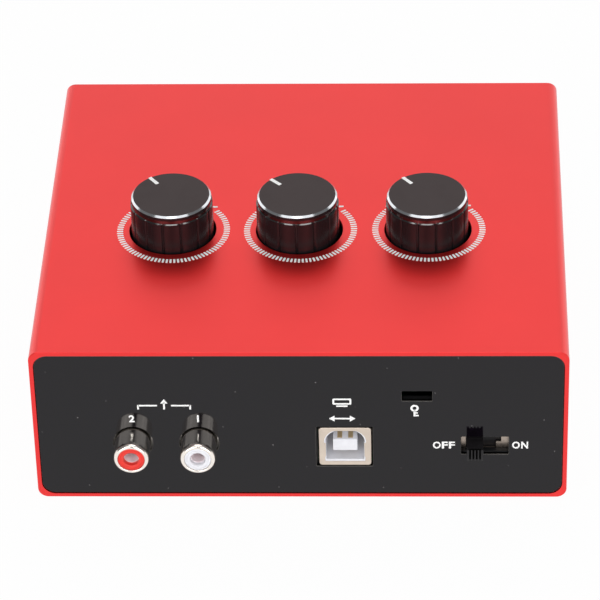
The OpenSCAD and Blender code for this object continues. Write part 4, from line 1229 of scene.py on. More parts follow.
@dataclass
class Knob:
    """A fluted knob with its spun cap, bright bevel and pointer line."""

    SIDES = ("left", "middle", "right")
    POINTERS = (127.0, 135.0, 129.0)
    PHASES = (-100.0, -90.0, -103.0)
    LEVEL_STEEP = 0.1
    BEVEL_STEEP = (0.5, 0.9)

    side: str
    pointer: float
    groove_phase: float
    sink: float = 2.0
    foot_edge: float = 0.2
    base_radius: float = 9.8
    skirt_radius: float = 9.74
    band_radius: float = 9.42
    band_height: float = 2.0
    step_bevel: float = 0.3
    step_fall: float = 0.17
    lobes: int = 14
    points_per_lobe: int = 24
    groove_half: float = 0.36
    groove_depth: float = 0.3
    lobe_bulge: float = 0.1
    skirt_wall: float = 1.7
    deck: float = 2.8
    hub_radius: float = 5.0
    shaft_radius: float = 3.05
    bore_rise: float = 1.0
    cap_steps: int = 160
    cap_bevel: float = 0.42
    pointer_width: float = 0.9
    pointer_length: float = 3.4
    pointer_depth: float = 0.25
    pointer_rise: float = 0.02
    pointer_overrun: float = 0.6
    skirt_crease: float = 28.0
    cap_crease: float = 20.0
    axis: Vector = field(init=False)
    top: float = field(init=False)
    seat: float = field(init=False)
    hub_foot: float = field(init=False)
    foot: float = field(init=False)
    step: float = field(init=False)

    def __post_init__(self) -> None:
        """Reads the knob's levels from the frame."""
        cap, body = Span.of(f"knob_cap_{self.side}"), Span.of(f"knob_{self.side}")
        self.axis = cap.centre
        self.top, self.seat = cap.high.z, cap.low.z
        self.hub_foot = body.low.z
        self.foot = Span.of("case_sleeve").high.z - self.sink
        self.step = self.top - self.band_height

    def build(self) -> None:
        """Builds the knob's pieces on its turning body."""
        self.skirt()
        self.cap()
        self.pointer_line()

    def ring(self, work: Workpiece, radius: float, z: float, fluted: bool) -> Edges:
        """A level of the knob's outside or inside.

        Args:
            work: The knob.
            radius: Radius of the level.
            z: Height of the level.
            fluted: Whether grooves are cut in it.

        Returns:
            The level's edges.
        """
        edges = work.circle((0, 0, z), radius, Axis.UP, self.lobes * self.points_per_lobe)
        if fluted:
            for vert in {vert for edge in edges for vert in edge.verts}:
                angle = math.degrees(math.atan2(vert.co.y, vert.co.x))
                share = self.groove(angle, radius)
                vert.co.x *= share
                vert.co.y *= share
        return edges

    def groove(self, angle: float, radius: float) -> float:
        """Share of the radius that is left at an angle. No groove cuts into the band.

        Args:
            angle: Direction in degrees.
            radius: Radius between the grooves.

        Returns:
            The share, from 0 to 1.
        """
        pitch = 360 / self.lobes
        off = (angle - self.groove_phase + pitch / 2) % pitch - pitch / 2
        along = math.radians(abs(off)) * radius
        half_lobe = math.radians(pitch / 2) * radius
        fall = self.lobe_bulge * (1 - along / half_lobe) ** 2
        if along < self.groove_half:
            fall += self.groove_depth * (0.5 + 0.5 * math.cos(math.pi * along / self.groove_half))
        return max(1 - fall / radius, self.band_radius / radius)

    def skirt(self) -> None:
        """Builds the skirt, band and hub as one hollow moulding."""
        work = Workpiece()
        inside = self.band_radius - self.skirt_wall
        deck_z = self.seat - self.deck
        bore_top = self.foot + self.bore_rise
        edge = self.step_bevel
        levels = [
            (self.shaft_radius, bore_top, False),
            (self.shaft_radius, self.hub_foot, False),
            (self.hub_radius, self.hub_foot, False),
            (self.hub_radius, deck_z, False),
            (inside, deck_z, False),
            (inside, self.foot, False),
            (self.base_radius - self.foot_edge, self.foot, True),
            (self.base_radius, self.foot + self.foot_edge, True),
            (self.skirt_radius, self.step - self.step_fall, True),
            (self.skirt_radius - edge, self.step, True),
            (self.band_radius, self.step, False),
            (self.band_radius, self.seat, False),
        ]
        rings = [self.ring(work, *level) for level in levels]
        shoulder = levels.index((self.skirt_radius, self.step - self.step_fall, True))
        work.bridge(*rings[:shoulder + 1])
        work.paint(1, work.bridge(*rings[shoulder:shoulder + 2]))
        work.bridge(*rings[shoulder + 1:])
        work.fill(rings[0])
        work.fill(rings[-1])
        self.settle(work)
        work.place(
            f"{self.side}_knob_skirt", [KNOB_BLACK, KNOB_EDGE], "knob_black", f"{self.side}_knob",
            [f"knob_{self.side}"], self.skirt_crease,
        )

    def cap(self) -> None:
        """Builds the cap with its bevel cut bright."""
        work = Workpiece()
        height, radius, bevel = self.top - self.seat, self.band_radius, self.cap_bevel
        profile = [
            (0.0, 0.0), (radius, 0.0), (radius, height - bevel), (radius - bevel, height), (0.0, height),
        ]
        work.lathe(profile, (0, 0, self.seat), Axis.UP, self.cap_steps, closed=False)
        work.bm.normal_update()
        least, most = self.BEVEL_STEEP
        slanted = [face for face in work.bm.faces if least < abs(face.normal.z) < most]
        wall = [face for face in work.bm.faces if abs(face.normal.z) < self.LEVEL_STEEP]
        self.settle(work)
        work.paint(1, slanted)
        work.paint(2, wall)
        work.place(
            f"{self.side}_knob_cap", [spun_cap(tuple(self.axis)), BRIGHT_CUT, KNOB_BLACK], "cap_black",
            f"{self.side}_knob", [f"knob_cap_{self.side}"], self.cap_crease,
        )

    def pointer_line(self) -> None:
        """Inlays the pointer line, which runs out over the bevel."""
        turn = Matrix.Rotation(math.radians(self.pointer), 4, "Z")
        place = Matrix.Translation((self.axis.x, self.axis.y, self.top - self.pointer_depth)) @ turn
        print_ = Stencil(place, self.pointer_depth + self.pointer_rise)
        outer = self.band_radius - self.cap_bevel + self.pointer_overrun * self.pointer_depth
        print_.bar((outer - self.pointer_length, 0.0), (outer, 0.0), self.pointer_width)
        print_.work.place(f"{self.side}_knob_pointer", [PRINT_WHITE], "cap_black", f"{self.side}_knob")

    def settle(self, work: Workpiece) -> None:
        """Moves a mesh that was made about Z onto the knob's axis."""
        bmesh.ops.translate(work.bm, vec=(self.axis.x, self.axis.y, 0), verts=work.bm.verts)


@dataclass
class PhonoJack:
    """A plated barrel with its coloured insulator. Lengths run outwards from the rear panel."""

    side: str
    colour: Finish
    slot: str
    radius: float = 4.175
    rim: float = 0.85
    rim_length: float = 1.3
    rim_steps: int = 14
    bore: float = 3.1
    bore_soft: float = 0.22
    flange_radius: float = 5.5
    flange_thickness: float = 0.8
    seat: float = 4.0
    insert_radius: float = 3.05
    insert_soft: float = 0.15
    mouth_radius: float = 1.75
    mouth_length: float = 1.2
    mouth_soft: float = 0.25
    mouth_steps: int = 5
    pocket_radius: float = 2.17
    ring_line: float = 2.55
    ring_width: float = 0.12
    soft_steps: int = 4
    barrel_steps: int = 96
    barrel_crease: float = 30.0
    insert_steps: int = 80
    insert_crease: float = 40.0

    def build(self) -> None:
        """Builds the barrel and the insulator."""
        shell, insert = Span.of(f"rca_shell_{self.side}"), Span.of(f"rca_insert_{self.side}")
        self.barrel(shell)
        self.insulator(insert)

    def barrel(self, box: Span) -> None:
        """Builds the barrel with its rounded rim and its flange.

        Args:
            box: The barrel's box.
        """
        length = box.size.y
        base = (box.centre.x, box.high.y, box.centre.z)
        seat, soft = self.seat, self.bore_soft
        outer = seat + self.flange_thickness
        rim_centre = (self.radius - self.rim, length - self.rim_length)
        stretch = self.rim_length / self.rim
        shoulder = arc((0.0, 0.0), self.rim, 0, 90, self.rim_steps)
        profile = [
            (self.bore, 0.0), (self.radius, 0.0), (self.radius, seat),
            (self.flange_radius, seat), (self.flange_radius, outer), (self.radius, outer),
            *((rim_centre[0] + x, rim_centre[1] + y * stretch) for x, y in shoulder),
            *arc((self.bore + soft, length - soft), soft, 90, 180, self.soft_steps),
        ]
        work = Workpiece()
        work.lathe(profile, base, Axis.REARWARD, self.barrel_steps)
        work.place(
            f"{self.side}_phono_barrel", [PLATED_METAL], "plated_metal", replaces=[f"rca_shell_{self.side}"],
            crease=self.barrel_crease,
        )

    def insulator(self, box: Span) -> None:
        """Builds the insulator with its mouth and a fine ring line on its face.

        Args:
            box: The insulator's box.
        """
        length = box.size.y
        base = (box.centre.x, box.high.y, box.centre.z)
        line, half = self.ring_line, self.ring_width / 2
        soft, lip, mouth_end = self.insert_soft, self.mouth_soft, length - self.mouth_length
        profile = [
            (self.pocket_radius, 0.0), (self.insert_radius, 0.0),
            *arc((self.insert_radius - soft, length - soft), soft, 0, 90, self.soft_steps),
            (line + half, length), (line, length - 2 * half), (line - half, length),
            *arc((self.mouth_radius + lip, length - lip), lip, 90, 180, self.mouth_steps),
            (self.mouth_radius, mouth_end), (self.pocket_radius, mouth_end),
        ]
        work = Workpiece()
        work.lathe(profile, base, Axis.REARWARD, self.insert_steps)
        work.place(
            f"{self.side}_phono_insulator", [self.colour], self.slot, replaces=[f"rca_insert_{self.side}"],
            crease=self.insert_crease,
        )


@dataclass
class UsbSocket:
    """The square socket: a folded shell and a white insulator. Heights are from the shell's middle."""

    sheet: float = 0.4
    corner: float = 0.75
    corner_steps: int = 6
    shell_soft: float = 0.12
    mouth_soft: float = 0.1
    soft_steps: int = 2
    mouth_bottom: float = -4.29
    brow_centre: Flat = (1.28, 1.18)
    brow_radius: float = 3.64
    brow_start: float = 68.7
    brow_end: float = 7.3
    brow_steps: int = 7
    notch_level: float = 1.02
    jaw_half: float = 4.47
    jaw_bottom: float = -2.75
    foot_half: float = 4.66
    foot_slope: float = 0.3
    insert_gap: float = 0.05
    insert_corner: float = 0.4
    insert_steps: int = 3
    lining: float = 0.28
    brow_drop: float = 0.02
    notch_rise: float = 0.2
    plug_half: float = 4.38
    plug_bottom: float = -3.65
    plug_depth: float = 9.5
    back_wall: float = 2.0
    tongue_half: float = 2.8
    tongue_height: float = 3.2
    tongue_back: float = 0.7
    tongue_root: float = 0.5
    tongue_soft: float = 0.12
    lip_back: float = 0.1
    lip_fit: float = 0.993
    lip_soft: float = 0.08
    crease: float = 40.0
    centre: Flat = field(init=False)
    front: float = field(init=False)

    def __post_init__(self) -> None:
        """Reads the socket's place from the frame."""
        box = Span.of("usb_shell")
        self.centre = (box.centre.x, box.centre.z)
        self.front = box.low.y

    def build(self) -> None:
        """Builds the shell and the insulator."""
        self.shell()
        self.insulator()

    def outline(self, half: Sequence[Flat], y: float) -> list[Point]:
        """Mirrors half an outline about the socket's middle.

        Args:
            half: The right half, from top to bottom.
            y: Plane of the outline.

        Returns:
            The whole outline.
        """
        x0, z0 = self.centre
        right = [(x0 + x, y, z0 + z) for x, z in half]
        left = [(x0 - x, y, z0 + z) for x, z in reversed(half)]
        return right + left

    def mouth(self) -> list[Flat]:
        """Right half of the mouth in the shell's front.

        Returns:
            The points from top to bottom.
        """
        brow = arc(self.brow_centre, self.brow_radius, self.brow_start, self.brow_end, self.brow_steps)
        return [
            *brow, (brow[-1][0], self.notch_level),
            (self.jaw_half, self.notch_level), (self.jaw_half, self.jaw_bottom),
            (self.foot_half, self.jaw_bottom - self.foot_slope), (self.foot_half, self.mouth_bottom),
        ]

    def shell(self) -> None:
        """Folds the shell: a front with its mouth, and four walls."""
        box = Span.of("usb_shell")
        work = Workpiece()
        sheet, soft, corner = self.sheet, self.shell_soft, self.corner
        face, tail = box.low.y, box.high.y
        inner = corner - sheet / 2
        rings = []
        for inset, radius, y in (
            (soft, corner - soft, face), (0.0, corner, face + soft), (0.0, corner, tail),
            (sheet, inner, tail), (sheet, inner, face + sheet),
        ):
            size = (box.size.x - 2 * inset, box.size.z - 2 * inset)
            rings.append(work.rounded(upright(self.centre, size, y), radius, self.corner_steps))
        work.bridge(*rings)
        mouths = [
            work.rounded(self.outline(self.mouth(), y), self.mouth_soft, self.soft_steps)
            for y in (face, face + sheet)
        ]
        work.bridge(*mouths)
        work.fill(rings[0] + mouths[0])
        work.fill(rings[-1] + mouths[-1])
        work.place(
            "usb_socket_shell", [SOCKET_STEEL], "socket_steel", replaces=["usb_shell"], crease=self.crease,
        )

    def insulator(self) -> None:
        """Builds the lining, its back wall and the tongue."""
        box = Span.of("usb_insulator")
        work = Workpiece()
        front = self.front + self.sheet + self.insert_gap
        bottom = front + self.plug_depth
        size = (box.size.x, box.size.z)
        collar = [(x * self.lip_fit, z * self.lip_fit) for x, z in self.mouth()]
        brow = [(x - self.lining, z - self.brow_drop) for x, z in collar[:self.brow_steps + 1]]
        step = self.notch_level + self.notch_rise
        cavity = [*brow, (brow[-1][0], step), (self.plug_half, step), (self.plug_half, self.plug_bottom)]
        lip_y = self.front + self.lip_back
        rim, tail = [
            work.rounded(upright(self.centre, size, y), self.insert_corner, self.insert_steps)
            for y in (front, bottom + self.back_wall)
        ]
        collar_root, collar_face, lip, floor = [
            work.rounded(self.outline(half, y), self.lip_soft, self.soft_steps)
            for half, y in ((collar, front), (collar, lip_y), (cavity, lip_y), (cavity, bottom))
        ]
        for pair in ((rim, tail), (collar_root, collar_face), (lip, floor)):
            work.bridge(*pair)
        for edges in (rim + collar_root, collar_face + lip, floor, tail):
            work.fill(edges)
        x0, z0 = self.centre
        half_w, half_h = self.tongue_half, self.tongue_height / 2
        low = (x0 - half_w, self.front + self.tongue_back, z0 - half_h)
        work.block(low, (x0 + half_w, bottom + self.tongue_root, z0 + half_h), self.tongue_soft)
        work.place(
            "usb_socket_insulator", [INSERT_WHITE], "insert_white", replaces=["usb_insulator"],
            crease=self.crease,
        )


@dataclass
class SlideSwitch:
    """The power switch's slider: a ribbed grip, its stem and the plate behind it."""

    body: str = "power_slider"
    grip_width: float = 3.8
    grip_height: float = 3.1
    grip_top: float = 18.75
    stem_height: float = 2.5
    stem_overlap: float = 0.4
    stem_soft: float = 0.08
    grip_clear: float = 0.2
    grooves: int = 4
    groove_width: float = 0.42
    groove_depth: float = 0.55
    plate_thickness: float = 1.6
    reach: float = 0.5
    soft: float = 0.1

    def build(self) -> None:
        """Builds the slider on its sliding body."""
        box, panel = Span.of("switch_slider"), Span.of("rear_faceplate")
        x, half = box.centre.x, self.grip_width / 2
        tip = box.low.y - self.reach
        work = Workpiece()
        outline = self.comb(x, tip, panel.low.y - self.grip_clear)
        grip = work.fill(work.loop((px, py, self.grip_top - self.grip_height) for px, py in outline))
        work.extrude(grip, (0, 0, self.grip_height))
        work.bm.normal_update()
        work.round_edges(work.sharp_edges(list(work.bm.faces)), self.soft)
        # The faces inside the grooves are painted shade black, standing in for the shade deep in the grooves.
        middles = {face: face.calc_center_median() for face in work.bm.faces}
        work.paint(1, [face for face, spot in middles.items() if self.in_groove(spot, x, tip)])
        plate_y = box.high.y - self.plate_thickness
        stem_low = self.grip_top - self.stem_height
        stem_ends = panel.low.y - self.stem_overlap, plate_y + self.stem_overlap
        low, high = (x - half, stem_ends[0], stem_low), (x + half, stem_ends[1], self.grip_top)
        work.block(low, high, self.stem_soft)
        work.block((box.low.x, plate_y, box.low.z), tuple(box.high), self.soft)
        work.place("switch_grip", [SLIDER_BLACK, PAINTED_SHADE_BLACK], "black_plastic", self.body, ["switch_slider"])

    def in_groove(self, spot: Vector, x: float, tip: float) -> bool:
        """Whether a point of the grip, with its middle and its face given, lies in one of the grooves."""
        inside = abs(spot.x - x) < self.grip_width / 2 - self.groove_width
        return inside and tip + self.soft < spot.y < tip + self.groove_depth + self.soft

    def comb(self, x: float, tip: float, root: float) -> list[Flat]:
        """Plan of the grip with the grooves in its face.

        Args:
            x: Middle of the grip.
            tip: Plane of its face.
            root: Plane of its back.

        Returns:
            The outline in X and Y.
        """
        half, cut = self.grip_width / 2, self.groove_width / 2
        pitch = self.grip_width / (self.grooves + 1)
        points = [(x + half, root), (x - half, root), (x - half, tip)]
        for i in range(self.grooves):
            middle = x + (i - (self.grooves - 1) / 2) * pitch
            floor = tip + self.groove_depth
            points += [(middle - cut, tip), (middle - cut, floor), (middle + cut, floor), (middle + cut, tip)]
        return points + [(x + half, tip)]


@dataclass
class PhoneSocket:
    """A 6.35 mm socket of the front panel: body, threaded bush, washer and nut."""

    node: str
    piece: str
    bore: float = 3.25
    bush_radius: float = 4.7
    thread_pitch: float = 0.75
    thread_depth: float = 0.35
    bush_base: float = 1.0
    bush_steps: int = 64
    body_setback: float = 1.3
    body_soft: float = 0.5
    thread_start: float = 1.0
    thread_end: float = 1.5
    tip_length: float = 0.5
    tip_chamfer: float = 0.4

    def build(self) -> None:
        """Builds the socket's body with its bush."""
        box, panel = Span.of(self.node), Span.of("front_faceplate")
        work = Workpiece()
        inner_end = panel.low.y - self.body_setback
        work.block(tuple(box.low), (box.high.x, inner_end, box.high.z), self.body_soft)
        length = box.high.y - inner_end
        tip = length - self.tip_length
        rounds = int((tip - self.bush_base - self.thread_end) / self.thread_pitch)
        low, cut = self.bush_radius - self.thread_depth, self.tip_chamfer
        thread = [(self.bush_radius, self.bush_base)]
        for i in range(rounds):
            start = self.bush_base + self.thread_start + i * self.thread_pitch
            thread += [(low, start), (self.bush_radius, start + self.thread_pitch / 2)]
        profile = [
            (self.bore, 0.0), (self.bush_radius, 0.0), *thread, (low, tip), (low - cut, length),
            (self.bore + cut, length), (self.bore, length - cut),
        ]
        base = (box.centre.x, inner_end, panel.centre.z)
        work.lathe(profile, base, Axis.FORWARD, self.bush_steps)
        work.place(self.piece, [BLACK_PLASTIC], "black_plastic", replaces=[self.node])


@dataclass
class SocketNuts:
    """The chamfered nuts and washers on both threaded bushes."""

    SIDE_SHARE = 0.9
    FOLD = 1.0

    bush_radius: float = 4.75
    bush_steps: int = 48
    nut_sides: int = 6
    nut_radius: float = 7.0
    chamfer: float = 0.45
    washer_edge: float = 0.15
    washer_steps: int = 72

    def build(self) -> None:
        """Builds the nuts and the washers."""
        nuts, washers = Span.of("jack_nuts"), Span.of("jack_washers")
        z = nuts.centre.z
        nut_work, washer_work = Workpiece(), Workpiece()
        for x in (Span.of(node).centre.x for node in PHONE_SOCKETS):
            self.nut(nut_work, (x, nuts.low.y, z), nuts.size.y)
            self.washer(washer_work, (x, washers.low.y, z), washers.size.y, washers.size.z / 2)
        nut_work.place("socket_nuts", [PLATED_METAL], "plated_metal", replaces=["jack_nuts"])
        washer_work.place("socket_washers", [PLATED_METAL], "plated_metal", replaces=["jack_washers"])

    def nut(self, work: Workpiece, base: Point, height: float) -> None:
        """Builds one six-sided nut from its base plane.

        Args:
            work: The nuts.
            base: Centre of its base.
            height: Its height.
        """
        hexagon = work.circle(base, self.nut_radius, Axis.FORWARD, self.nut_sides)
        hole = work.circle(base, self.bush_radius, Axis.FORWARD, self.bush_steps)
        far = work.extrude(work.fill(hexagon + hole), (0, height, 0))
        rim = [
            edge for face in far for edge in face.edges
            if edge.calc_length() > self.nut_radius * self.SIDE_SHARE and len(edge.link_faces) == 2
            and edge.calc_face_angle() > self.FOLD
        ]
        work.round_edges(list(set(rim)), self.chamfer)

    def washer(self, work: Workpiece, base: Point, height: float, radius: float) -> None:
        """Turns one washer from its base plane.

        Args:
            work: The washers.
            base: Centre of its base.
            height: Its thickness.
            radius: Its outer radius.
        """
        edge = self.washer_edge
        profile = [
            (self.bush_radius, 0.0), (radius, 0.0), (radius, height - edge), (radius - edge, height),
            (self.bush_radius + edge, height), (self.bush_radius, height - edge),
        ]
        work.lathe(profile, base, Axis.FORWARD, self.washer_steps)


@dataclass
class ComboSocket:
    """The microphone socket: a round face with a ring groove, three pin holes and a middle bore."""

    face_radius: float = 12.0
    ring_inner: float = 7.9
    ring_outer: float = 9.7
    ring_depth: float = 12.0
    bore: float = 3.25
    pin_circle: float = 5.6
    pin_radius: float = 1.6
    pin_angles: tuple[float, ...] = (30, 150, 270)
    edge: float = 0.4
    tab_width: float = 5.0
    tab_height: float = 1.1
    tab_rise: float = 0.55
    tab_back: float = 1.0
    tab_front: float = 0.5
    body_setback: float = 1.3
    body_gap: float = 0.05
    soft: float = 0.3
    face_steps: int = 96
    island_steps: int = 72
    bore_steps: int = 48
    pin_steps: int = 32

    def build(self) -> None:
        """Builds the face, the island inside the ring groove, the latch tab and the body."""
        box, panel = Span.of("combo_jack_body"), Span.of("front_faceplate")
        x, z, front = box.centre.x, panel.centre.z, box.high.y
        depth = front - box.low.y
        work = Workpiece()
        edge, radius = self.edge, self.face_radius
        floor = depth - self.ring_depth
        collar = [
            (self.ring_outer, floor), (radius, floor), (radius, depth - edge), (radius - edge, depth),
            (self.ring_outer + edge, depth), (self.ring_outer, depth - edge),
        ]
        work.lathe(collar, (x, box.low.y, z), Axis.FORWARD, self.face_steps)
        outline = work.circle((x, front, z), self.ring_inner, Axis.FORWARD, self.island_steps)
        holes = work.circle((x, front, z), self.bore, Axis.FORWARD, self.bore_steps)
        for angle in map(math.radians, self.pin_angles):
            px, pz = x + self.pin_circle * math.cos(angle), z + self.pin_circle * math.sin(angle)
            holes = holes + work.circle((px, front, pz), self.pin_radius, Axis.FORWARD, self.pin_steps)
        work.extrude(work.fill(outline + holes), (0, -depth, 0))
        half, tab_z = self.tab_width / 2, z + self.ring_outer + self.tab_rise
        tab_low = (x - half, front - self.tab_back, tab_z)
        work.block(tab_low, (x + half, front + self.tab_front, tab_z + self.tab_height), self.soft)
        reach = self.ring_inner + self.body_gap
        back = min(box.low.y + floor - self.body_gap, panel.low.y - self.body_setback)
        for x0, x1 in ((box.low.x, x - reach), (x + reach, box.high.x)):
            work.block((x0, box.low.y, box.low.z), (x1, back, box.high.z), self.soft)
        work.place("combo_socket", [BLACK_PLASTIC], "black_plastic", replaces=["combo_jack_body"])


@dataclass
class FrontControls:
    """The phantom power button and the two lights."""

    button_edge: float = 0.5
    dish: float = 0.25
    dish_radius: float = 0.6
    dish_fall: float = 0.7
    button_steps: int = 64
    light_radius: float = 1.5
    light_steps: int = 48
    dome_height: float = 0.7
    dome_steps: int = 10
    soft_steps: int = 6
    flange: float = 1.9
    flange_thickness: float = 1.0
    crease: float = 50.0

    @classmethod
    def light_places(cls, lights: Span) -> Flat:
        """X of both lights."""
        return lights.low.x + cls.flange, lights.high.x - cls.flange

    def build(self) -> None:
        """Builds the dished button and the domed lights."""
        self.button(Span.of("phantom_button"))
        self.lights(Span.of("status_leds"))

    def button(self, box: Span) -> None:
        """Turns the button with a soft edge and a dished face.

        Args:
            box: The button's box.
        """
        radius, length, soft = box.size.x / 2, box.size.y, self.button_edge
        profile = [
            (0.0, 0.0), (radius, 0.0),
            *arc((radius - soft, length - soft), soft, 0, 90, self.soft_steps),
            (radius * self.dish_radius, length - self.dish * self.dish_fall), (0.0, length - self.dish),
        ]
        work = Workpiece()
        base = (box.centre.x, box.low.y, box.centre.z)
        work.lathe(profile, base, Axis.FORWARD, self.button_steps, closed=False)
        work.place(
            "phantom_cap", [BUTTON_GREY], "button_grey", "phantom_push", ["phantom_button"], self.crease,
        )

    def lights(self, box: Span) -> None:
        """Turns both lights with a domed tip and a flange behind the panel.

        Args:
            box: The box around both lights.
        """
        work = Workpiece()
        length, radius, rise = box.size.y, self.light_radius, self.dome_height
        shoulder = length - radius * rise
        dome = [(x, shoulder + rise * y) for x, y in arc((0.0, 0.0), radius, 0, 90, self.dome_steps)]
        profile = [
            (0.0, 0.0), (self.flange, 0.0), (self.flange, self.flange_thickness),
            (radius, self.flange_thickness), *dome[:-1], (0.0, length),
        ]
        for x in self.light_places(box):
            work.lathe(profile, (x, box.low.y, box.centre.z), Axis.FORWARD, self.light_steps, closed=False)
        work.place(
            "front_lights", [LIGHT_GREEN], "light_green", replaces=["status_leds"], crease=self.crease,
        )


@dataclass
class RubberFeet:
    """Four glued feet with a soft lower edge and a hollow underside."""

    floor_radius: float = 4.5
    top_radius: float = 5.0
    soft: float = 0.5
    soft_steps: int = 5
    hollow_radius: float = 2.6
    hollow_slope: float = 0.3
    hollow: float = 0.3
    steps: int = 48

    def build(self) -> None:
        """Turns the four feet."""
        box = Span.of("rubber_feet")
        height, soft = box.size.z, self.soft
        profile = [
            (0.0, self.hollow), (self.hollow_radius - self.hollow_slope, self.hollow),
            (self.hollow_radius, 0.0),
            *arc((self.floor_radius - soft, soft), soft, -90, 0, self.soft_steps),
            (self.top_radius, height), (0.0, height),
        ]
        work = Workpiece()
        for x in (box.low.x + self.top_radius, box.high.x - self.top_radius):
            for y in (box.low.y + self.top_radius, box.high.y - self.top_radius):
                work.lathe(profile, (x, y, 0.0), Axis.UP, self.steps, closed=False)
        work.place("soft_feet", [FOOT_RUBBER], "foot_rubber", replaces=["rubber_feet"])


class Innards:
    """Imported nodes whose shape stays, each given the finish of its material slot."""

    def dress(self) -> None:
        """Gives every node that still shows its finish."""
        for part in frame["record"]["subparts"]:
            node = frame["nodes"][part["node"]]
            if node.hide_render:
                continue
            node.data.materials.clear()
            node.data.materials.append(SLOT_FINISHES[part["material_slot"]].material())
            LOG.info("%s keeps its shape and takes %s", part["node"], part["material_slot"])


@dataclass(frozen=True)
class Softbox:
    """A soft rectangular lamp that faces the object. Lengths are in metres, angles in degrees."""

    name: str
    azimuth: float
    elevation: float
    distance: float
    width: float
    height: float
    radiance: float

    def hang(self, aim: Point) -> None:
        """Hangs the lamp around the point that it faces.

        Args:
            aim: The point.
        """
        data = bpy.data.lights.new(self.name, "AREA")
        data.shape = "RECTANGLE"
        data.size, data.size_y = self.width, self.height
        data.energy = self.radiance * math.pi * self.width * self.height
        lamp = bpy.data.objects.new(self.name, data)
        turn = Matrix.Rotation(math.radians(self.azimuth), 4, "Z")
        tilt = Matrix.Rotation(math.radians(90 - self.elevation), 4, "X")
        lamp.matrix_world = Matrix.Translation(aim) @ turn @ tilt @ Matrix.Translation((0, 0, self.distance))
        lamp.visible_camera = False
        bpy.context.scene.collection.objects.link(lamp)


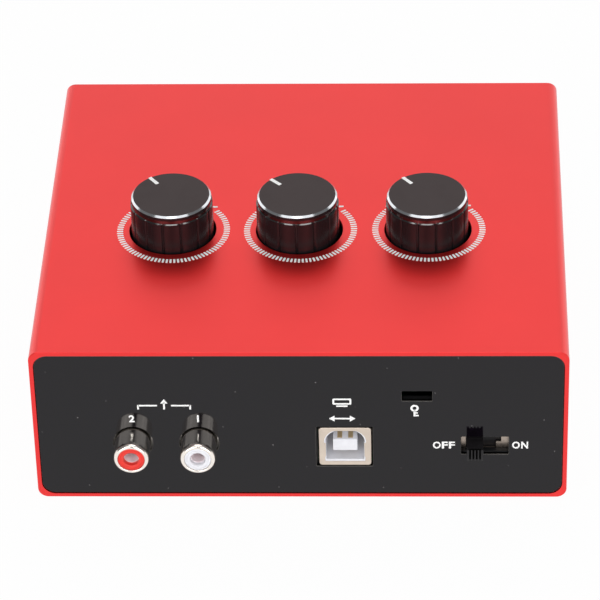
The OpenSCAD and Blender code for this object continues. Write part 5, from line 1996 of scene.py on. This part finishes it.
@dataclass
class Studio:
    """Camera, lamps, floor and backdrop. Lengths are in metres."""

    lens: float = 226.07
    sensor: float = 36.0
    clip: Flat = (0.01, 50.0)
    eye: Point = (0.0317195, -0.7403808, 0.5530029)
    tilt_down: float = 0.625847
    heading: float = 0.0451369
    roll: float = -0.0276224
    aim: Point = (0.0, 0.0, 0.03)
    floor_size: float = 12.0
    floor_shade: float = 0.9
    white_share: float = 0.97
    sky: float = 0.18
    horizon: float = 1.0
    fade: Flat = (0.03, 0.2)
    pairs: tuple[Softbox, ...] = (
        Softbox("low", azimuth=34.0, elevation=7.0, distance=1.2, width=0.5, height=0.42, radiance=3.3),
        Softbox("fill", azimuth=23.5, elevation=26.0, distance=1.25, width=0.56, height=0.5, radiance=3.5),
        Softbox("brow", azimuth=22.0, elevation=55.0, distance=1.25, width=0.96, height=0.3, radiance=1.15),
        Softbox("side", azimuth=124.0, elevation=19.0, distance=1.4, width=0.98, height=0.7, radiance=1.15),
    )
    singles: tuple[Softbox, ...] = (
        Softbox("top", azimuth=0.0, elevation=87.0, distance=1.2, width=0.8, height=0.16, radiance=5.0),
        Softbox("key", azimuth=180.0, elevation=55.0, distance=1.1, width=1.1, height=0.56, radiance=1.24),
        Softbox("sweep", azimuth=180.0, elevation=23.0, distance=1.8, width=2.4, height=0.9, radiance=0.83),
    )

    def build(self) -> None:
        """Sets up the view, the floor and the light, with each pair of lamps on both sides."""
        self.camera()
        self.floor()
        self.world()
        for box in self.pairs:
            for side, way in (("left", -1), ("right", 1)):
                replace(box, name=f"{box.name}_{side}", azimuth=way * box.azimuth).hang(self.aim)
        for box in self.singles:
            box.hang(self.aim)

    def camera(self) -> None:
        """Stands the camera where the photograph was taken from."""
        data = bpy.data.cameras.new("view")
        data.lens = self.lens
        data.sensor_width = self.sensor
        data.clip_start, data.clip_end = self.clip
        eye = bpy.data.objects.new("view", data)
        turn = Matrix.Rotation(self.heading, 4, "Z") @ Matrix.Rotation(math.pi / 2 - self.tilt_down, 4, "X")
        eye.matrix_world = Matrix.Translation(self.eye) @ turn @ Matrix.Rotation(self.roll, 4, "Z")
        bpy.context.scene.collection.objects.link(eye)
        bpy.context.scene.camera = eye

    def floor(self) -> None:
        """Lays a pale floor that shows white and keeps a soft shadow."""
        bm = bmesh.new()
        bmesh.ops.create_grid(bm, x_segments=1, y_segments=1, size=self.floor_size / 2)
        mesh = bpy.data.meshes.new("floor")
        bm.to_mesh(mesh)
        bm.free()
        floor = bpy.data.objects.new("floor", mesh)
        bpy.context.scene.collection.objects.link(floor)
        material = bpy.data.materials.new("floor_white")
        nodes = Nodes(material)
        shade = self.floor_shade
        matt = nodes.add("ShaderNodeBsdfDiffuse", Color=(shade, shade, shade, 1.0))
        glow = nodes.add("ShaderNodeEmission")
        mix = nodes.add("ShaderNodeMixShader")
        share = nodes.math("MULTIPLY", self.seen(nodes), self.white_share)
        for socket, value in zip(mix.inputs, (share, matt.outputs[0], glow.outputs[0])):
            nodes.join(socket, value)
        nodes.add("ShaderNodeOutputMaterial", Surface=mix.outputs[0])
        mesh.materials.append(material)

    def seen(self, nodes: Nodes) -> bpy.types.NodeSocket:
        """One for camera, mirror and see-through rays, and nothing for the rays that light the object.

        Args:
            nodes: The floor's nodes.

        Returns:
            The switch, for the floor's white share.
        """
        path = nodes.add("ShaderNodeLightPath").outputs
        total = path["Is Camera Ray"]
        for kind in ("Is Glossy Ray", "Is Transmission Ray"):
            total = nodes.math("MAXIMUM", total, path[kind])
        return total

    def world(self) -> None:
        """Surrounds the object with a dim room whose horizon is white."""
        world = bpy.data.worlds.new("studio")
        bpy.context.scene.world = world
        nodes = Nodes(world)
        place = nodes.add("ShaderNodeTexCoord").outputs["Generated"]
        height = nodes.add("ShaderNodeSeparateXYZ", Vector=place).outputs["Z"]
        fade = nodes.add(
            "ShaderNodeMapRange", Value=height, From_Min=self.fade[0], From_Max=self.fade[1],
            To_Min=self.horizon, To_Max=self.sky,
        )
        fade.interpolation_type = "SMOOTHSTEP"
        room = nodes.add("ShaderNodeBackground", Color=(1.0, 1.0, 1.0, 1.0), Strength=fade.outputs[0])
        nodes.add("ShaderNodeOutputWorld", Surface=room.outputs[0])
        bpy.context.scene.view_settings.view_transform = "Standard"


def main() -> None:
    """Builds the pieces in order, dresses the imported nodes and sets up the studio."""
    logging.basicConfig(level=logging.INFO, format="%(message)s")
    CaseSleeve().build()
    Faceplate("rear_faceplate", "rear_panel", Axis.REARWARD).build(RearOpenings().cutouts())
    Faceplate("front_faceplate", "front_panel", Axis.FORWARD).build(FrontOpenings().cutouts())
    RearPrint().build()
    DialPrint().build()
    for side, pointer, phase in zip(Knob.SIDES, Knob.POINTERS, Knob.PHASES):
        Knob(side, pointer, phase).build()
    PhonoJack("left", INSERT_RED, "insert_red").build()
    PhonoJack("right", INSERT_WHITE, "insert_white").build()
    UsbSocket().build()
    SlideSwitch().build()
    ComboSocket().build()
    PhoneSocket("instrument_jack", "instrument_socket").build()
    PhoneSocket("phones_jack", "phones_socket").build()
    SocketNuts().build()
    FrontControls().build()
    FrontPrint().build()
    RubberFeet().build()
    Innards().dress()
    Studio().build()


if __name__ == "__main__":
    main()
